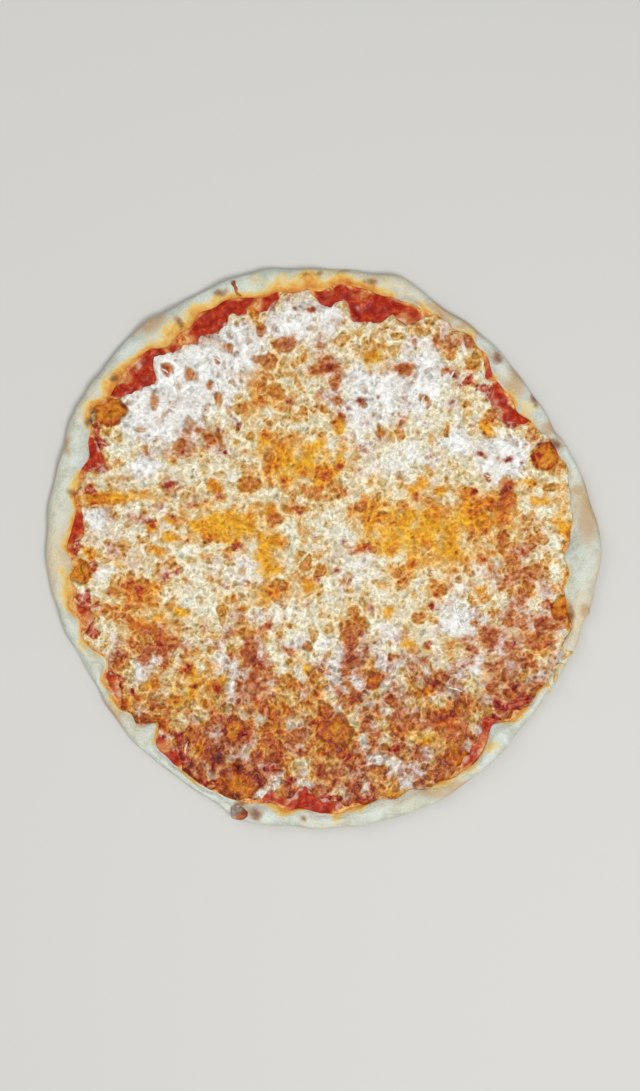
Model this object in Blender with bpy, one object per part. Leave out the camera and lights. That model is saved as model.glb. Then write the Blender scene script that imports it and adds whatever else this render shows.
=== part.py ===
"""A whole round cheese pizza with a thin, pale crust, resting on its flat underside.

Lengths are in metres and angles in degrees. +Z is up, +X is the pizza's right hand side and
+Y its far side, and the origin is on the underside, in the middle of the pizza's outline.
Three layers make it: the crust with its uneven rim, the tomato sauce that lies in the
crust's shallow well, and the sheet of melted cheese on the sauce.
"""

import math

import bmesh
import bpy
from mathutils import Matrix, Vector, noise

# How many steps go round the pizza: the three layers share them, so that their edges run
# side by side.
STEPS = 184
GRID = STEPS // 4
WELD = 0.00002
GAP = 0.0003

# The crust, seen from above: a circle with swells, each (where, how wide, how far out).
CRUST_RADIUS = 0.1932
CRUST_SWELLS = (
    (34, 22, -0.0130),
    (62, 7, -0.0045),
    (74, 5, 0.0025),
    (85, 12, 0.0018),
    (110, 14, 0.0063),
    (133, 10, 0.0080),
    (151, 7.5, 0.0070),
    (176, 12, 0.0025),
    (208, 11, -0.0063),
    (229, 11, -0.0032),
    (254, 7, 0.0052),
    (275, 20, 0.0032),
    (325, 22, -0.0067),
    (360, 4, 0.0021),
)
CRUST_RIPPLE = 0.0007
CRUST_WAVES = (11, 17, 26, 41)

# The edge of the toppings, where the sauce meets the rim.
TOPPING_RADIUS = 0.1800
TOPPING_SWELLS = (
    (0, 14, -0.0090),
    (38, 12, -0.0150),
    (84, 7, 0.0040),
    (113, 7, 0.0063),
    (138, 6, 0.0080),
    (150, 4, 0.0090),
    (170, 16, -0.0028),
    (207, 3, -0.0080),
    (215, 4, 0.0050),
    (226, 2.5, -0.0140),
    (241, 9, 0.0090),
    (252, 3, 0.0060),
    (268, 10, 0.0050),
    (300, 6, 0.0042),
    (314, 5, -0.0077),
    (331, 3, 0.0056),
    (343, 3, 0.0045),
    (350, 8, -0.0049),
)
TOPPING_RIPPLE = 0.0014
TOPPING_WAVES = (23, 31, 47, 58)
LEAST_RIM = 0.0065

# The stretches where bare sauce shows outside the cheese: (where, how wide, how deep in).
BARE_SAUCE = (
    (38, 6, 0.0130),
    (51, 4, 0.0080),
    (70, 5, 0.0085),
    (82, 9, 0.0220),
    (106, 5, 0.0110),
    (118, 9, 0.0150),
    (139, 5, 0.0135),
    (159, 4, 0.0100),
    (177, 7, 0.0060),
    (196, 4, 0.0080),
    (213, 4, 0.0080),
    (232, 4, 0.0070),
    (265, 9, 0.0120),
    (309, 8, 0.0070),
)
LEAST_BARE = 0.0014
CHEESE_RIPPLE = 0.0011
CHEESE_WAVES = (19, 37, 53, 61)

# Heights above the underside.
FLOOR_TOP = 0.0040
WELL_LIP = 0.0056
SAUCE_UNDER = FLOOR_TOP + GAP
SAUCE_LEVEL = 0.0053
SAUCE_LUMP = 0.0008
SAUCE_LUMPS_PER_METRE = 260
SAUCE_RINGS = 4
CHEESE_UNDER = SAUCE_LEVEL + GAP
CHEESE_EDGE = 0.0010
CHEESE_THICK = 0.0024
CHEESE_ROLL = 0.0050
# The sheet lies in broad drifts with smaller lumps on them: (how high, how many a metre).
DRIFTS = (0.0010, 45)
LUMPS = (0.0007, 120)

# The rim's cross-section is a half ellipse on a slanting foot, and its underside tucks in.
RIM_RINGS = 8
RIM_LOW = 0.0078
RIM_RISE = 0.0052
WIDE_RIM = 0.0220
SIDE_SHARE = 0.34
TUCK = 0.0036
RIM_LUMP = 0.0010
RIM_WAVES = (9, 14, 22, 35)
# Creases in the rim's top, where the dough was folded: (where, how wide, how deep).
CREASES = ((225, 1.6, 0.0022), (117, 1.8, 0.0012), (66, 1.8, 0.0014), (357, 1.6, 0.0012))

# Bubbles in the cheese at the rim: (where, distance from the centre, radius, height).
BUBBLES = (
    (22, 0.1745, 0.0085, 0.0040),
    (56, 0.1690, 0.0050, 0.0030),
    (146, 0.1830, 0.0055, 0.0030),
    (150, 0.1800, 0.0095, 0.0042),
    (168, 0.1750, 0.0055, 0.0028),
    (186, 0.1740, 0.0085, 0.0040),
    (207, 0.1650, 0.0060, 0.0026),
    (246, 0.1800, 0.0120, 0.0046),
    (343, 0.1765, 0.0075, 0.0036),
    (352, 0.1650, 0.0060, 0.0028),
    (290, 0.1740, 0.0060, 0.0026),
    (304, 0.1730, 0.0060, 0.0026),
)
# Blisters out on the sheet of cheese, spread by the golden angle.
BLISTERS = 18
BLISTER_REACH = 0.9
BLISTER_RADIUS = 0.0052
BLISTER_HEIGHT = 0.0022
BLISTER_SIZES = (0.75, 1.2, 0.95, 0.8, 1.1)
GOLDEN_ANGLE = 137.508
# A dome's outline is a little oval, and its hidden lower half is shallow.
DOME_OVAL = 0.85
DOME_ROOT = 0.0012
DOME_SIDES = 10
DOME_RINGS = 6
DOME_LEVEL = CHEESE_UNDER + 0.7 * CHEESE_THICK

# Shreds of cheese that fell on the rim: (where, share across the rim, heading).
SHREDS = ((333, 0.30, 20), (331, 0.52, 75), (328, 0.36, 110), (337, 0.34, 140), (336, 0.62, 35))
SHRED_LENGTH = 0.0090
SHRED_WIDTH = 0.0026
# The burnt strand that runs out over the rim, and how far it strays to the side.
STRAND_ANGLE = 108
STRAND_SPAN = (0.16, 0.86)
STRAND_BEND = 1.2
STRAND_WIDTH = 0.0026
STRAND_STEPS = 6
# The drip of cheese over the near edge: (where, share across the rim), then its half sizes.
DRIP = (252, 0.62)
DRIP_SIZES = (0.0065, 0.0050, 0.0022)

# Each layer's colour in linear light, and its roughness.
CRUST_FINISH = ((0.60, 0.57, 0.46, 1), 0.75)
SAUCE_FINISH = ((0.36, 0.035, 0.015, 1), 0.35)
CHEESE_FINISH = ((0.68, 0.46, 0.22, 1), 0.45)
SHARP_ANGLE = 60


def swell_sum(angle, swells):
    """The sum of smooth hills, each highest at its own angle and gone a few widths away."""
    total = 0
    for where, width, rise in swells:
        away = (angle - where + 180) % 360 - 180
        total += rise * math.exp(-((away / width) ** 2))
    return total


def ripple(angle, size, lobes):
    """Even unevenness: sine waves round the pizza, each with its own start."""
    waves = (math.sin(math.radians(angle) * count + 2.4 * count) for count in lobes)
    return size * sum(waves) / math.sqrt(len(lobes))


def crust_radius(angle):
    return (
        CRUST_RADIUS
        + swell_sum(angle, CRUST_SWELLS)
        + ripple(angle, CRUST_RIPPLE, CRUST_WAVES)
    )


def topping_radius(angle):
    wanted = (
        TOPPING_RADIUS
        + swell_sum(angle, TOPPING_SWELLS)
        + ripple(angle, TOPPING_RIPPLE, TOPPING_WAVES)
    )
    return min(wanted, crust_radius(angle) - LEAST_RIM)


def cheese_radius(angle):
    bare = LEAST_BARE + swell_sum(angle, BARE_SAUCE)
    ragged = ripple(angle, CHEESE_RIPPLE, CHEESE_WAVES)
    return topping_radius(angle) - max(LEAST_BARE, bare + ragged)


def outline_middle():
    """The middle of the box round the crust's outline."""
    spots = [polar(step * 360 / STEPS, crust_radius(step * 360 / STEPS)) for step in range(STEPS)]
    across = [spot.x for spot in spots]
    along = [spot.y for spot in spots]
    return Vector(((min(across) + max(across)) / 2, (min(along) + max(along)) / 2, 0))


def polar(angle, radius, height=0):
    turn = math.radians(angle)
    return Vector((radius * math.cos(turn), radius * math.sin(turn), height))


def rim_height(angle):
    """Wide stretches of rim have puffed up more, and creases press into it."""
    width = crust_radius(angle) - topping_radius(angle)
    puff = RIM_RISE * min(width / WIDE_RIM, 1)
    return (
        RIM_LOW
        + puff
        + ripple(angle, RIM_LUMP, RIM_WAVES)
        - swell_sum(angle, CREASES)
    )


def rim_point(angle, share):
    """A point on the rim's top: share 0 is its lip at the sauce and share 1 its outer side."""
    inner = topping_radius(angle) + GAP
    outer = crust_radius(angle)
    foot = WELL_LIP + share * (SIDE_SHARE * rim_height(angle) - WELL_LIP)
    arch = math.sqrt(max(0, 1 - (2 * share - 1) ** 2))
    return polar(angle, inner + share * (outer - inner), foot + arch * (rim_height(angle) - foot))


def crust_point(angle, ring):
    """Ring 0 is the well's floor, ring 1 its lip, the next rings the rim, the last the foot."""
    if ring == 0:
        return polar(angle, topping_radius(angle) + GAP, FLOOR_TOP)
    if ring > RIM_RINGS + 1:
        return polar(angle, crust_radius(angle) - TUCK, 0)
    share = (1 - math.cos(math.pi * (ring - 1) / RIM_RINGS)) / 2
    return rim_point(angle, share)


def sauce_point(angle, ring):
    """Ring 0 is the flat part under the cheese, then lumps out to the edge, then its foot."""
    inner = cheese_radius(angle) + GAP
    outer = topping_radius(angle)
    if ring == SAUCE_RINGS:
        return polar(angle, outer, SAUCE_UNDER)
    share = ring / (SAUCE_RINGS - 1)
    spot = polar(angle, inner + share * (outer - inner))
    lump = 0.5 + 0.5 * noise.noise(spot * SAUCE_LUMPS_PER_METRE)
    spot.z = SAUCE_LEVEL + SAUCE_LUMP * lump * math.sin(math.pi * share)
    return spot


def round_band(steps, rings, place):
    """A grid bent right round the pizza, its two open ends closed with flat faces."""
    shape = bmesh.new()
    bmesh.ops.create_grid(shape, x_segments=steps, y_segments=rings, size=0.5)
    for vert in shape.verts:
        angle = 360 * (vert.co.x + 0.5)
        vert.co = place(angle % 360, round(rings * (vert.co.y + 0.5)))
    bmesh.ops.remove_doubles(shape, verts=shape.verts, dist=WELD)
    ends = [edge for edge in shape.edges if edge.is_boundary]
    bmesh.ops.holes_fill(shape, edges=ends, sides=0)
    bmesh.ops.recalc_face_normals(shape, faces=shape.faces)
    return shape


def round_from_square(x, y):
    """A square grid's point in the disc: each square ring becomes a circle."""
    reach = max(abs(x), abs(y))
    if reach == 0:
        return 0, 0
    if abs(x) >= abs(y):
        turn = 45 * y / x + (0 if x > 0 else 180)
    else:
        turn = 90 - 45 * x / y + (0 if y > 0 else 180)
    return turn % 360, reach


def cheese_height(spot, to_edge):
    """Thick and thin drifts with smaller lumps, rounded down to the thin edge."""
    drift = sum(high * noise.noise(spot * many) for high, many in (DRIFTS, LUMPS))
    roll = min(to_edge / CHEESE_ROLL, 1)
    rounded = math.sqrt(1 - (1 - roll) ** 2)
    return CHEESE_UNDER + CHEESE_EDGE + (CHEESE_THICK - CHEESE_EDGE + drift) * rounded


def cheese_sheet():
    """A square grid made round, raised into the melted top, with a wall and a flat underside."""
    shape = bmesh.new()
    bmesh.ops.create_grid(shape, x_segments=GRID, y_segments=GRID, size=1)
    for vert in shape.verts:
        angle, reach = round_from_square(vert.co.x, vert.co.y)
        edge = cheese_radius(angle)
        vert.co = polar(angle, reach * edge)
        vert.co.z = cheese_height(vert.co, (1 - reach) * edge)
    rim = [edge for edge in shape.edges if edge.is_boundary]
    wall = bmesh.ops.extrude_edge_only(shape, edges=rim)["geom"]
    for part in wall:
        if isinstance(part, bmesh.types.BMVert):
            part.co.z = CHEESE_UNDER
    under = [edge for edge in shape.edges if edge.is_boundary]
    bmesh.ops.holes_fill(shape, edges=under, sides=0)
    bmesh.ops.recalc_face_normals(shape, faces=shape.faces)
    return shape


def dome(middle, half_sizes, heading=0):
    """A ball stretched to three half sizes and turned to its heading, its lower half shallow."""
    shape = bmesh.new()
    bmesh.ops.create_uvsphere(shape, u_segments=DOME_SIDES, v_segments=DOME_RINGS, radius=1)
    for vert in shape.verts:
        if vert.co.z < 0:
            vert.co.z *= DOME_ROOT / half_sizes[2]
    shape.transform(Matrix.Diagonal((*half_sizes, 1)))
    shape.transform(Matrix.Rotation(math.radians(heading), 4, "Z"))
    shape.transform(Matrix.Translation(middle))
    return shape


def clear_distance(where, distance, radius):
    """The wanted distance, or as far out as keeps a dome inside the cheese's ragged edge."""
    spread = math.degrees(radius / distance)
    nearby = (where + spread * step / 4 for step in range(-4, 5))
    return min(distance, min(cheese_radius(angle) for angle in nearby) - radius)


def bubble_places():
    """The bubbles at the rim, and the smaller blisters spread over the sheet."""
    for where, distance, radius, height in BUBBLES:
        yield where, clear_distance(where, distance, radius), radius, height
    for count in range(BLISTERS):
        where = count * GOLDEN_ANGLE % 360
        distance = BLISTER_REACH * cheese_radius(where) * math.sqrt((count + 0.5) / BLISTERS)
        size = BLISTER_SIZES[count % len(BLISTER_SIZES)]
        yield where, distance, size * BLISTER_RADIUS, size * BLISTER_HEIGHT


def new_object(name, shape, collection):
    mesh = bpy.data.meshes.new(name)
    shape.to_mesh(mesh)
    shape.free()
    thing = bpy.data.objects.new(name, mesh)
    collection.objects.link(thing)
    return thing


def paint(thing, colour, roughness):
    """The layer's own finish, and smooth shading except at its sharp edges."""
    finish = bpy.data.materials.new(thing.name)
    finish.use_nodes = True
    shader = finish.node_tree.nodes["Principled BSDF"]
    shader.inputs["Base Color"].default_value = colour
    shader.inputs["Roughness"].default_value = roughness
    shader.inputs["Metallic"].default_value = 0
    thing.data.materials.clear()
    thing.data.materials.append(finish)
    thing.data.shade_smooth()
    thing.data.set_sharp_from_angle(angle=math.radians(SHARP_ANGLE))


def fuse(thing, bits):
    """Joins every object of a collection to the thing, and removes the collection."""
    union = thing.modifiers.new("fuse", "BOOLEAN")
    union.operation = "UNION"
    union.operand_type = "COLLECTION"
    union.collection = bits
    union.solver = "EXACT"
    seen = thing.evaluated_get(bpy.context.evaluated_depsgraph_get())
    joined = bpy.data.meshes.new_from_object(seen)
    thing.modifiers.clear()
    thing.data = joined
    for bit in list(bits.objects):
        bpy.data.objects.remove(bit)
    bpy.data.collections.remove(bits)


def bits_collection(name):
    """A collection of small shapes that will be fused to a layer."""
    bits = bpy.data.collections.new(name)
    bpy.context.scene.collection.children.link(bits)
    return bits


def add_bubbles(cheese):
    bits = bits_collection("bubbles")
    for count, (where, distance, radius, height) in enumerate(bubble_places()):
        spot = polar(where, distance, DOME_LEVEL)
        shape = dome(spot, (radius, DOME_OVAL * radius, height), where)
        new_object(f"bubble_{count}", shape, bits)
    fuse(cheese, bits)


def strand():
    """A thin tube that follows the rim's top from the sauce outwards."""
    start, end = STRAND_SPAN
    curve = bpy.data.curves.new("strand", "CURVE")
    curve.dimensions = "3D"
    curve.bevel_depth = STRAND_WIDTH / 2
    curve.bevel_resolution = 1
    curve.use_fill_caps = True
    line = curve.splines.new("POLY")
    line.points.add(STRAND_STEPS)
    for count, point in enumerate(line.points):
        share = start + (end - start) * count / STRAND_STEPS
        spot = rim_point(STRAND_ANGLE + STRAND_BEND * math.sin(math.pi * share), share)
        point.co = (*spot, 1)
    draft = bpy.data.objects.new("strand_draft", curve)
    bpy.context.scene.collection.objects.link(draft)
    seen = draft.evaluated_get(bpy.context.evaluated_depsgraph_get())
    shape = bmesh.new()
    shape.from_mesh(seen.to_mesh())
    bpy.data.objects.remove(draft)
    bmesh.ops.remove_doubles(shape, verts=shape.verts, dist=WELD)
    bmesh.ops.recalc_face_normals(shape, faces=shape.faces)
    return shape


def add_scraps(crust):
    """Fuses the burnt strand, the fallen shreds and the drip to the rim they lie on."""
    bits = bits_collection("scraps")
    new_object("strand", strand(), bits)
    for count, (where, share, heading) in enumerate(SHREDS):
        sizes = (SHRED_LENGTH / 2, SHRED_WIDTH / 2, SHRED_WIDTH / 2)
        new_object(f"shred_{count}", dome(rim_point(where, share), sizes, heading), bits)
    where, share = DRIP
    new_object("drip", dome(rim_point(where, share), DRIP_SIZES, where + 90), bits)
    fuse(crust, bits)


def clear_scene():
    for old in list(bpy.data.objects):
        bpy.data.objects.remove(old)


def main():
    clear_scene()
    pizza = bpy.data.collections.new("cheese_pizza")
    bpy.context.scene.collection.children.link(pizza)
    crust = new_object("crust", round_band(STEPS, RIM_RINGS + 2, crust_point), pizza)
    sauce = new_object("sauce", round_band(STEPS, SAUCE_RINGS, sauce_point), pizza)
    cheese = new_object("cheese", cheese_sheet(), pizza)
    add_scraps(crust)
    add_bubbles(cheese)
    middle = outline_middle()
    for layer in (crust, sauce, cheese):
        layer.data.transform(Matrix.Translation(-middle))
    paint(crust, *CRUST_FINISH)
    paint(sauce, *SAUCE_FINISH)
    paint(cheese, *CHEESE_FINISH)


main()
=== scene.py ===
"""The looks of a whole round cheese pizza with a thin, pale crust, seen from straight above.

Lengths are in metres, angles in degrees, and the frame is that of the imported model: +Z is up,
+X the pizza's right hand side, +Y its far side, and it rests on z = 0. Every surface is
worked out as whole arrays. Colours are shared by place: maps of the pizza, seen from above,
say how white, golden, toasted or red it is at each spot, and every piece carries what its
own points find there.
"""

from types import SimpleNamespace

import bpy
import numpy as np
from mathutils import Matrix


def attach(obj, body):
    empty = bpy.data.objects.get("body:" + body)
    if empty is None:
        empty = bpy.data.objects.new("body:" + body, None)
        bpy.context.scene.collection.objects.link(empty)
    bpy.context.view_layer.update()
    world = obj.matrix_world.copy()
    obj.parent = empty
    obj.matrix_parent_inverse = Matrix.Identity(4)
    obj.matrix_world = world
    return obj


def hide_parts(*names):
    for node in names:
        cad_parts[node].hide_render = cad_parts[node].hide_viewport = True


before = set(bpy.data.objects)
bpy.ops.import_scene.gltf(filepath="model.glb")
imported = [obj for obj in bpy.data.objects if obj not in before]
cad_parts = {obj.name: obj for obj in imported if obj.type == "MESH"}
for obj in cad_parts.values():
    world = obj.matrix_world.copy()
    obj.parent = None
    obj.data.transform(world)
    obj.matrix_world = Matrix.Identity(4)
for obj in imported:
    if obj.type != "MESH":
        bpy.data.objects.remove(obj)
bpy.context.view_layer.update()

# How the photo's pixels lie on the pizza: one pixel's width in metres, the pixel over the
# middle of the crust's circle, the picture's size, and the pixel that the camera looks at.
PIXEL = 0.0007
CIRCLE_PIXEL = (325, 548)
PICTURE = (640, 1091)
PICTURE_MIDDLE = (PICTURE[0] / 2, PICTURE[1] / 2)

# The outlines are those of the solids: a circle with swells, each (where, how wide, how far
# out), and a fine ripple. Only the fold in the toppings at 226 degrees is a little narrower.
OUTLINE_STEPS = 184
CRUST_RADIUS = 0.1932
CRUST_SWELLS = (
    (34, 22, -0.0130),
    (62, 7, -0.0045),
    (74, 5, 0.0025),
    (85, 12, 0.0018),
    (110, 14, 0.0063),
    (133, 10, 0.0080),
    (151, 7.5, 0.0070),
    (176, 12, 0.0025),
    (208, 11, -0.0063),
    (229, 11, -0.0032),
    (254, 7, 0.0052),
    (275, 20, 0.0032),
    (325, 22, -0.0067),
    (360, 4, 0.0021),
)
CRUST_RIPPLE = 0.0007
CRUST_WAVES = (11, 17, 26, 41)
TOPPING_RADIUS = 0.1800
TOPPING_SWELLS = (
    (0, 14, -0.0090),
    (38, 12, -0.0150),
    (84, 7, 0.0040),
    (113, 7, 0.0063),
    (138, 6, 0.0080),
    (150, 4, 0.0090),
    (170, 16, -0.0028),
    (207, 3, -0.0080),
    (215, 4, 0.0050),
    (226, 2.0, -0.0118),
    (241, 9, 0.0090),
    (252, 3, 0.0060),
    (268, 10, 0.0050),
    (300, 6, 0.0042),
    (314, 5, -0.0077),
    (331, 3, 0.0056),
    (343, 3, 0.0045),
    (350, 8, -0.0049),
)
TOPPING_RIPPLE = 0.0014
TOPPING_WAVES = (23, 31, 47, 58)
LEAST_RIM = 0.0065
# The band of bare sauce between the toppings' outline and the cheese, and where it is wider.
BARE_SAUCE = (
    (38, 6, 0.0130),
    (51, 4, 0.0080),
    (70, 5, 0.0085),
    (82, 9, 0.0220),
    (106, 5, 0.0110),
    (118, 9, 0.0150),
    (139, 5, 0.0135),
    (159, 4, 0.0100),
    (177, 7, 0.0060),
    (196, 4, 0.0080),
    (213, 4, 0.0080),
    (232, 4, 0.0070),
    (265, 9, 0.0120),
    (309, 8, 0.0070),
)
LEAST_BARE = 0.0014
CHEESE_RIPPLE = 0.0011
CHEESE_WAVES = (19, 37, 53, 61)
# Tongues of shreds that reach out over the sauce, or bays in the cheese's edge where the
# last number is below 0: (where, how wide, how far).
TONGUES = (
    (96, 3.2, 0.0105),
    (86, 2.0, 0.0060),
    (74, 2.2, 0.0035),
    (66, 2.0, 0.0040),
    (107, 1.8, 0.0095),
    (112, 1.9, 0.0030),
    (121, 2.2, 0.0035),
    (129, 2.0, 0.0030),
    (135, 4.0, -0.0080),
    (262, 2.0, 0.0040),
    (52.5, 3.4, 0.0085),
    (38.5, 1.3, 0.0040),
)
# Where the band of bare sauce is narrow, from the first width here to the second, the cheese
# runs out this much further than in the solids.
RUN_OUT = 0.0024
NARROW_BAND = (0.0022, 0.0058)
# Finer lobes in the cheese's edge than the solids show: how many go round, and their size.
LOBE_COUNTS = (59, 97, 151, 223)
LOBE_SIZES = (0.0013, 0.0012, 0.0009, 0.0005)

# Heights above the underside and what shapes cheese and rim, as in the solids.
GAP = 0.0003
FLOOR_TOP = 0.0040
WELL_LIP = 0.0056
SAUCE_UNDER = FLOOR_TOP + GAP
SAUCE_LEVEL = 0.0053
CHEESE_UNDER = SAUCE_LEVEL + GAP
CHEESE_EDGE = 0.0010
CHEESE_THICK = 0.0024
CHEESE_ROLL = 0.0050
RIM_LOW = 0.0078
RIM_RISE = 0.0052
WIDE_RIM = 0.0220
SIDE_SHARE = 0.34
TUCK = 0.0036
RIM_LUMP = 0.0010
RIM_WAVES = (9, 14, 22, 35)
CREASES = ((225, 1.6, 0.0022), (117, 1.8, 0.0012), (66, 1.8, 0.0014), (357, 1.6, 0.0012))

# Bubbles in the cheese at the rim: (where, distance from the middle, radius, height), and
# the blisters out on the sheet, spread by the golden angle. Both are as in the solids.
BUBBLES = (
    (22, 0.1745, 0.0085, 0.0040),
    (56, 0.1690, 0.0050, 0.0030),
    (146, 0.1830, 0.0055, 0.0030),
    (150, 0.1800, 0.0095, 0.0042),
    (168, 0.1750, 0.0055, 0.0028),
    (186, 0.1740, 0.0085, 0.0040),
    (207, 0.1650, 0.0060, 0.0026),
    (246, 0.1800, 0.0120, 0.0046),
    (343, 0.1765, 0.0075, 0.0036),
    (352, 0.1650, 0.0060, 0.0028),
    (290, 0.1740, 0.0060, 0.0026),
    (304, 0.1730, 0.0060, 0.0026),
)
BLISTERS = 18
BLISTER_REACH = 0.9
BLISTER_RADIUS = 0.0052
BLISTER_HEIGHT = 0.0022
BLISTER_SIZES = (0.75, 1.2, 0.95, 0.8, 1.1)
GOLDEN_ANGLE = 137.508
DOME_LEVEL = CHEESE_UNDER + 0.7 * CHEESE_THICK

# The maps: square, this far from the middle to each side, with cells of this width.
MAP_REACH = 0.2
MAP_CELLS = 1000
CELL = 2 * MAP_REACH / MAP_CELLS

# What the photo shows of the toppings, in its pixels: soft ovals, (across, down, wide, high).
WHITE_DRIFTS = (
    (185, 375, 120, 90), (165, 415, 90, 60), (235, 350, 70, 60), (298, 322, 50, 40),
    (328, 315, 18, 36), (375, 385, 60, 60), (420, 375, 50, 60), (145, 467, 36, 18),
    (500, 460, 46, 50), (455, 445, 30, 24), (460, 622, 36, 32), (97, 521, 26, 24),
    (138, 674, 20, 14), (447, 692, 16, 9), (230, 685, 18, 12), (210, 770, 18, 12),
)
# Where it is nearly white too, but melted in.
MILKY_DRIFTS = (
    (255, 572, 36, 34), (288, 607, 56, 40), (355, 560, 36, 50), (457, 590, 32, 50),
    (385, 470, 60, 30), (415, 455, 50, 24), (385, 630, 44, 34), (480, 570, 26, 26),
    (107, 575, 20, 16), (230, 660, 26, 30), (400, 410, 60, 40), (355, 425, 40, 40),
    (320, 640, 30, 24), (490, 662, 44, 50), (550, 670, 34, 66), (536, 618, 22, 30),
)
CREAM_DRIFTS = (
    (300, 430, 260, 120), (400, 430, 120, 90), (230, 500, 120, 60), (330, 540, 90, 90),
    (230, 590, 110, 70), (420, 600, 160, 90), (530, 530, 50, 60), (300, 650, 160, 60),
    (340, 775, 50, 30), (260, 747, 24, 16), (477, 672, 36, 22),
)
GOLDEN_POOLS = (
    (262, 535, 22, 14), (268, 548, 12, 22), (240, 530, 20, 12), (226, 540, 18, 10),
    (200, 527, 16, 14), (226, 512, 12, 10), (215, 487, 14, 10), (172, 536, 16, 10),
    (168, 520, 12, 8), (151, 528, 12, 8), (155, 550, 22, 8), (262, 445, 16, 18),
    (276, 569, 20, 13), (298, 460, 26, 16), (340, 458, 12, 18), (320, 445, 22, 12),
    (270, 510, 12, 16), (430, 530, 84, 44), (400, 520, 50, 34), (395, 548, 40, 24),
    (470, 515, 46, 34), (412, 490, 16, 14), (422, 486, 16, 12), (440, 493, 18, 12),
    (374, 357, 20, 18), (340, 425, 9, 20), (485, 427, 12, 10), (530, 482, 18, 9),
    (538, 502, 22, 12), (563, 528, 13, 22), (570, 575, 10, 16), (92, 553, 14, 12),
    (117, 563, 14, 10), (180, 612, 22, 10), (160, 617, 12, 9), (150, 685, 18, 14),
    (183, 700, 18, 16), (165, 725, 13, 13), (128, 705, 11, 24), (192, 672, 11, 9),
    (223, 677, 12, 10), (200, 748, 16, 16), (285, 712, 12, 12), (276, 690, 12, 12),
    (277, 727, 18, 9), (308, 668, 10, 10), (370, 677, 14, 14), (410, 645, 17, 12),
    (388, 612, 12, 12), (308, 586, 11, 14), (398, 790, 22, 11), (425, 738, 20, 12),
    (448, 727, 20, 8), (430, 690, 12, 10), (478, 588, 10, 10), (109, 498, 42, 12),
    (370, 520, 20, 30), (455, 550, 40, 30), (300, 452, 24, 12), (325, 475, 30, 20),
    (232, 526, 76, 30), (267, 556, 24, 44), (300, 462, 70, 40), (120, 497, 70, 12),
    (405, 535, 60, 56), (254, 310, 14, 30), (184, 340, 22, 12),
)
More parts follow.
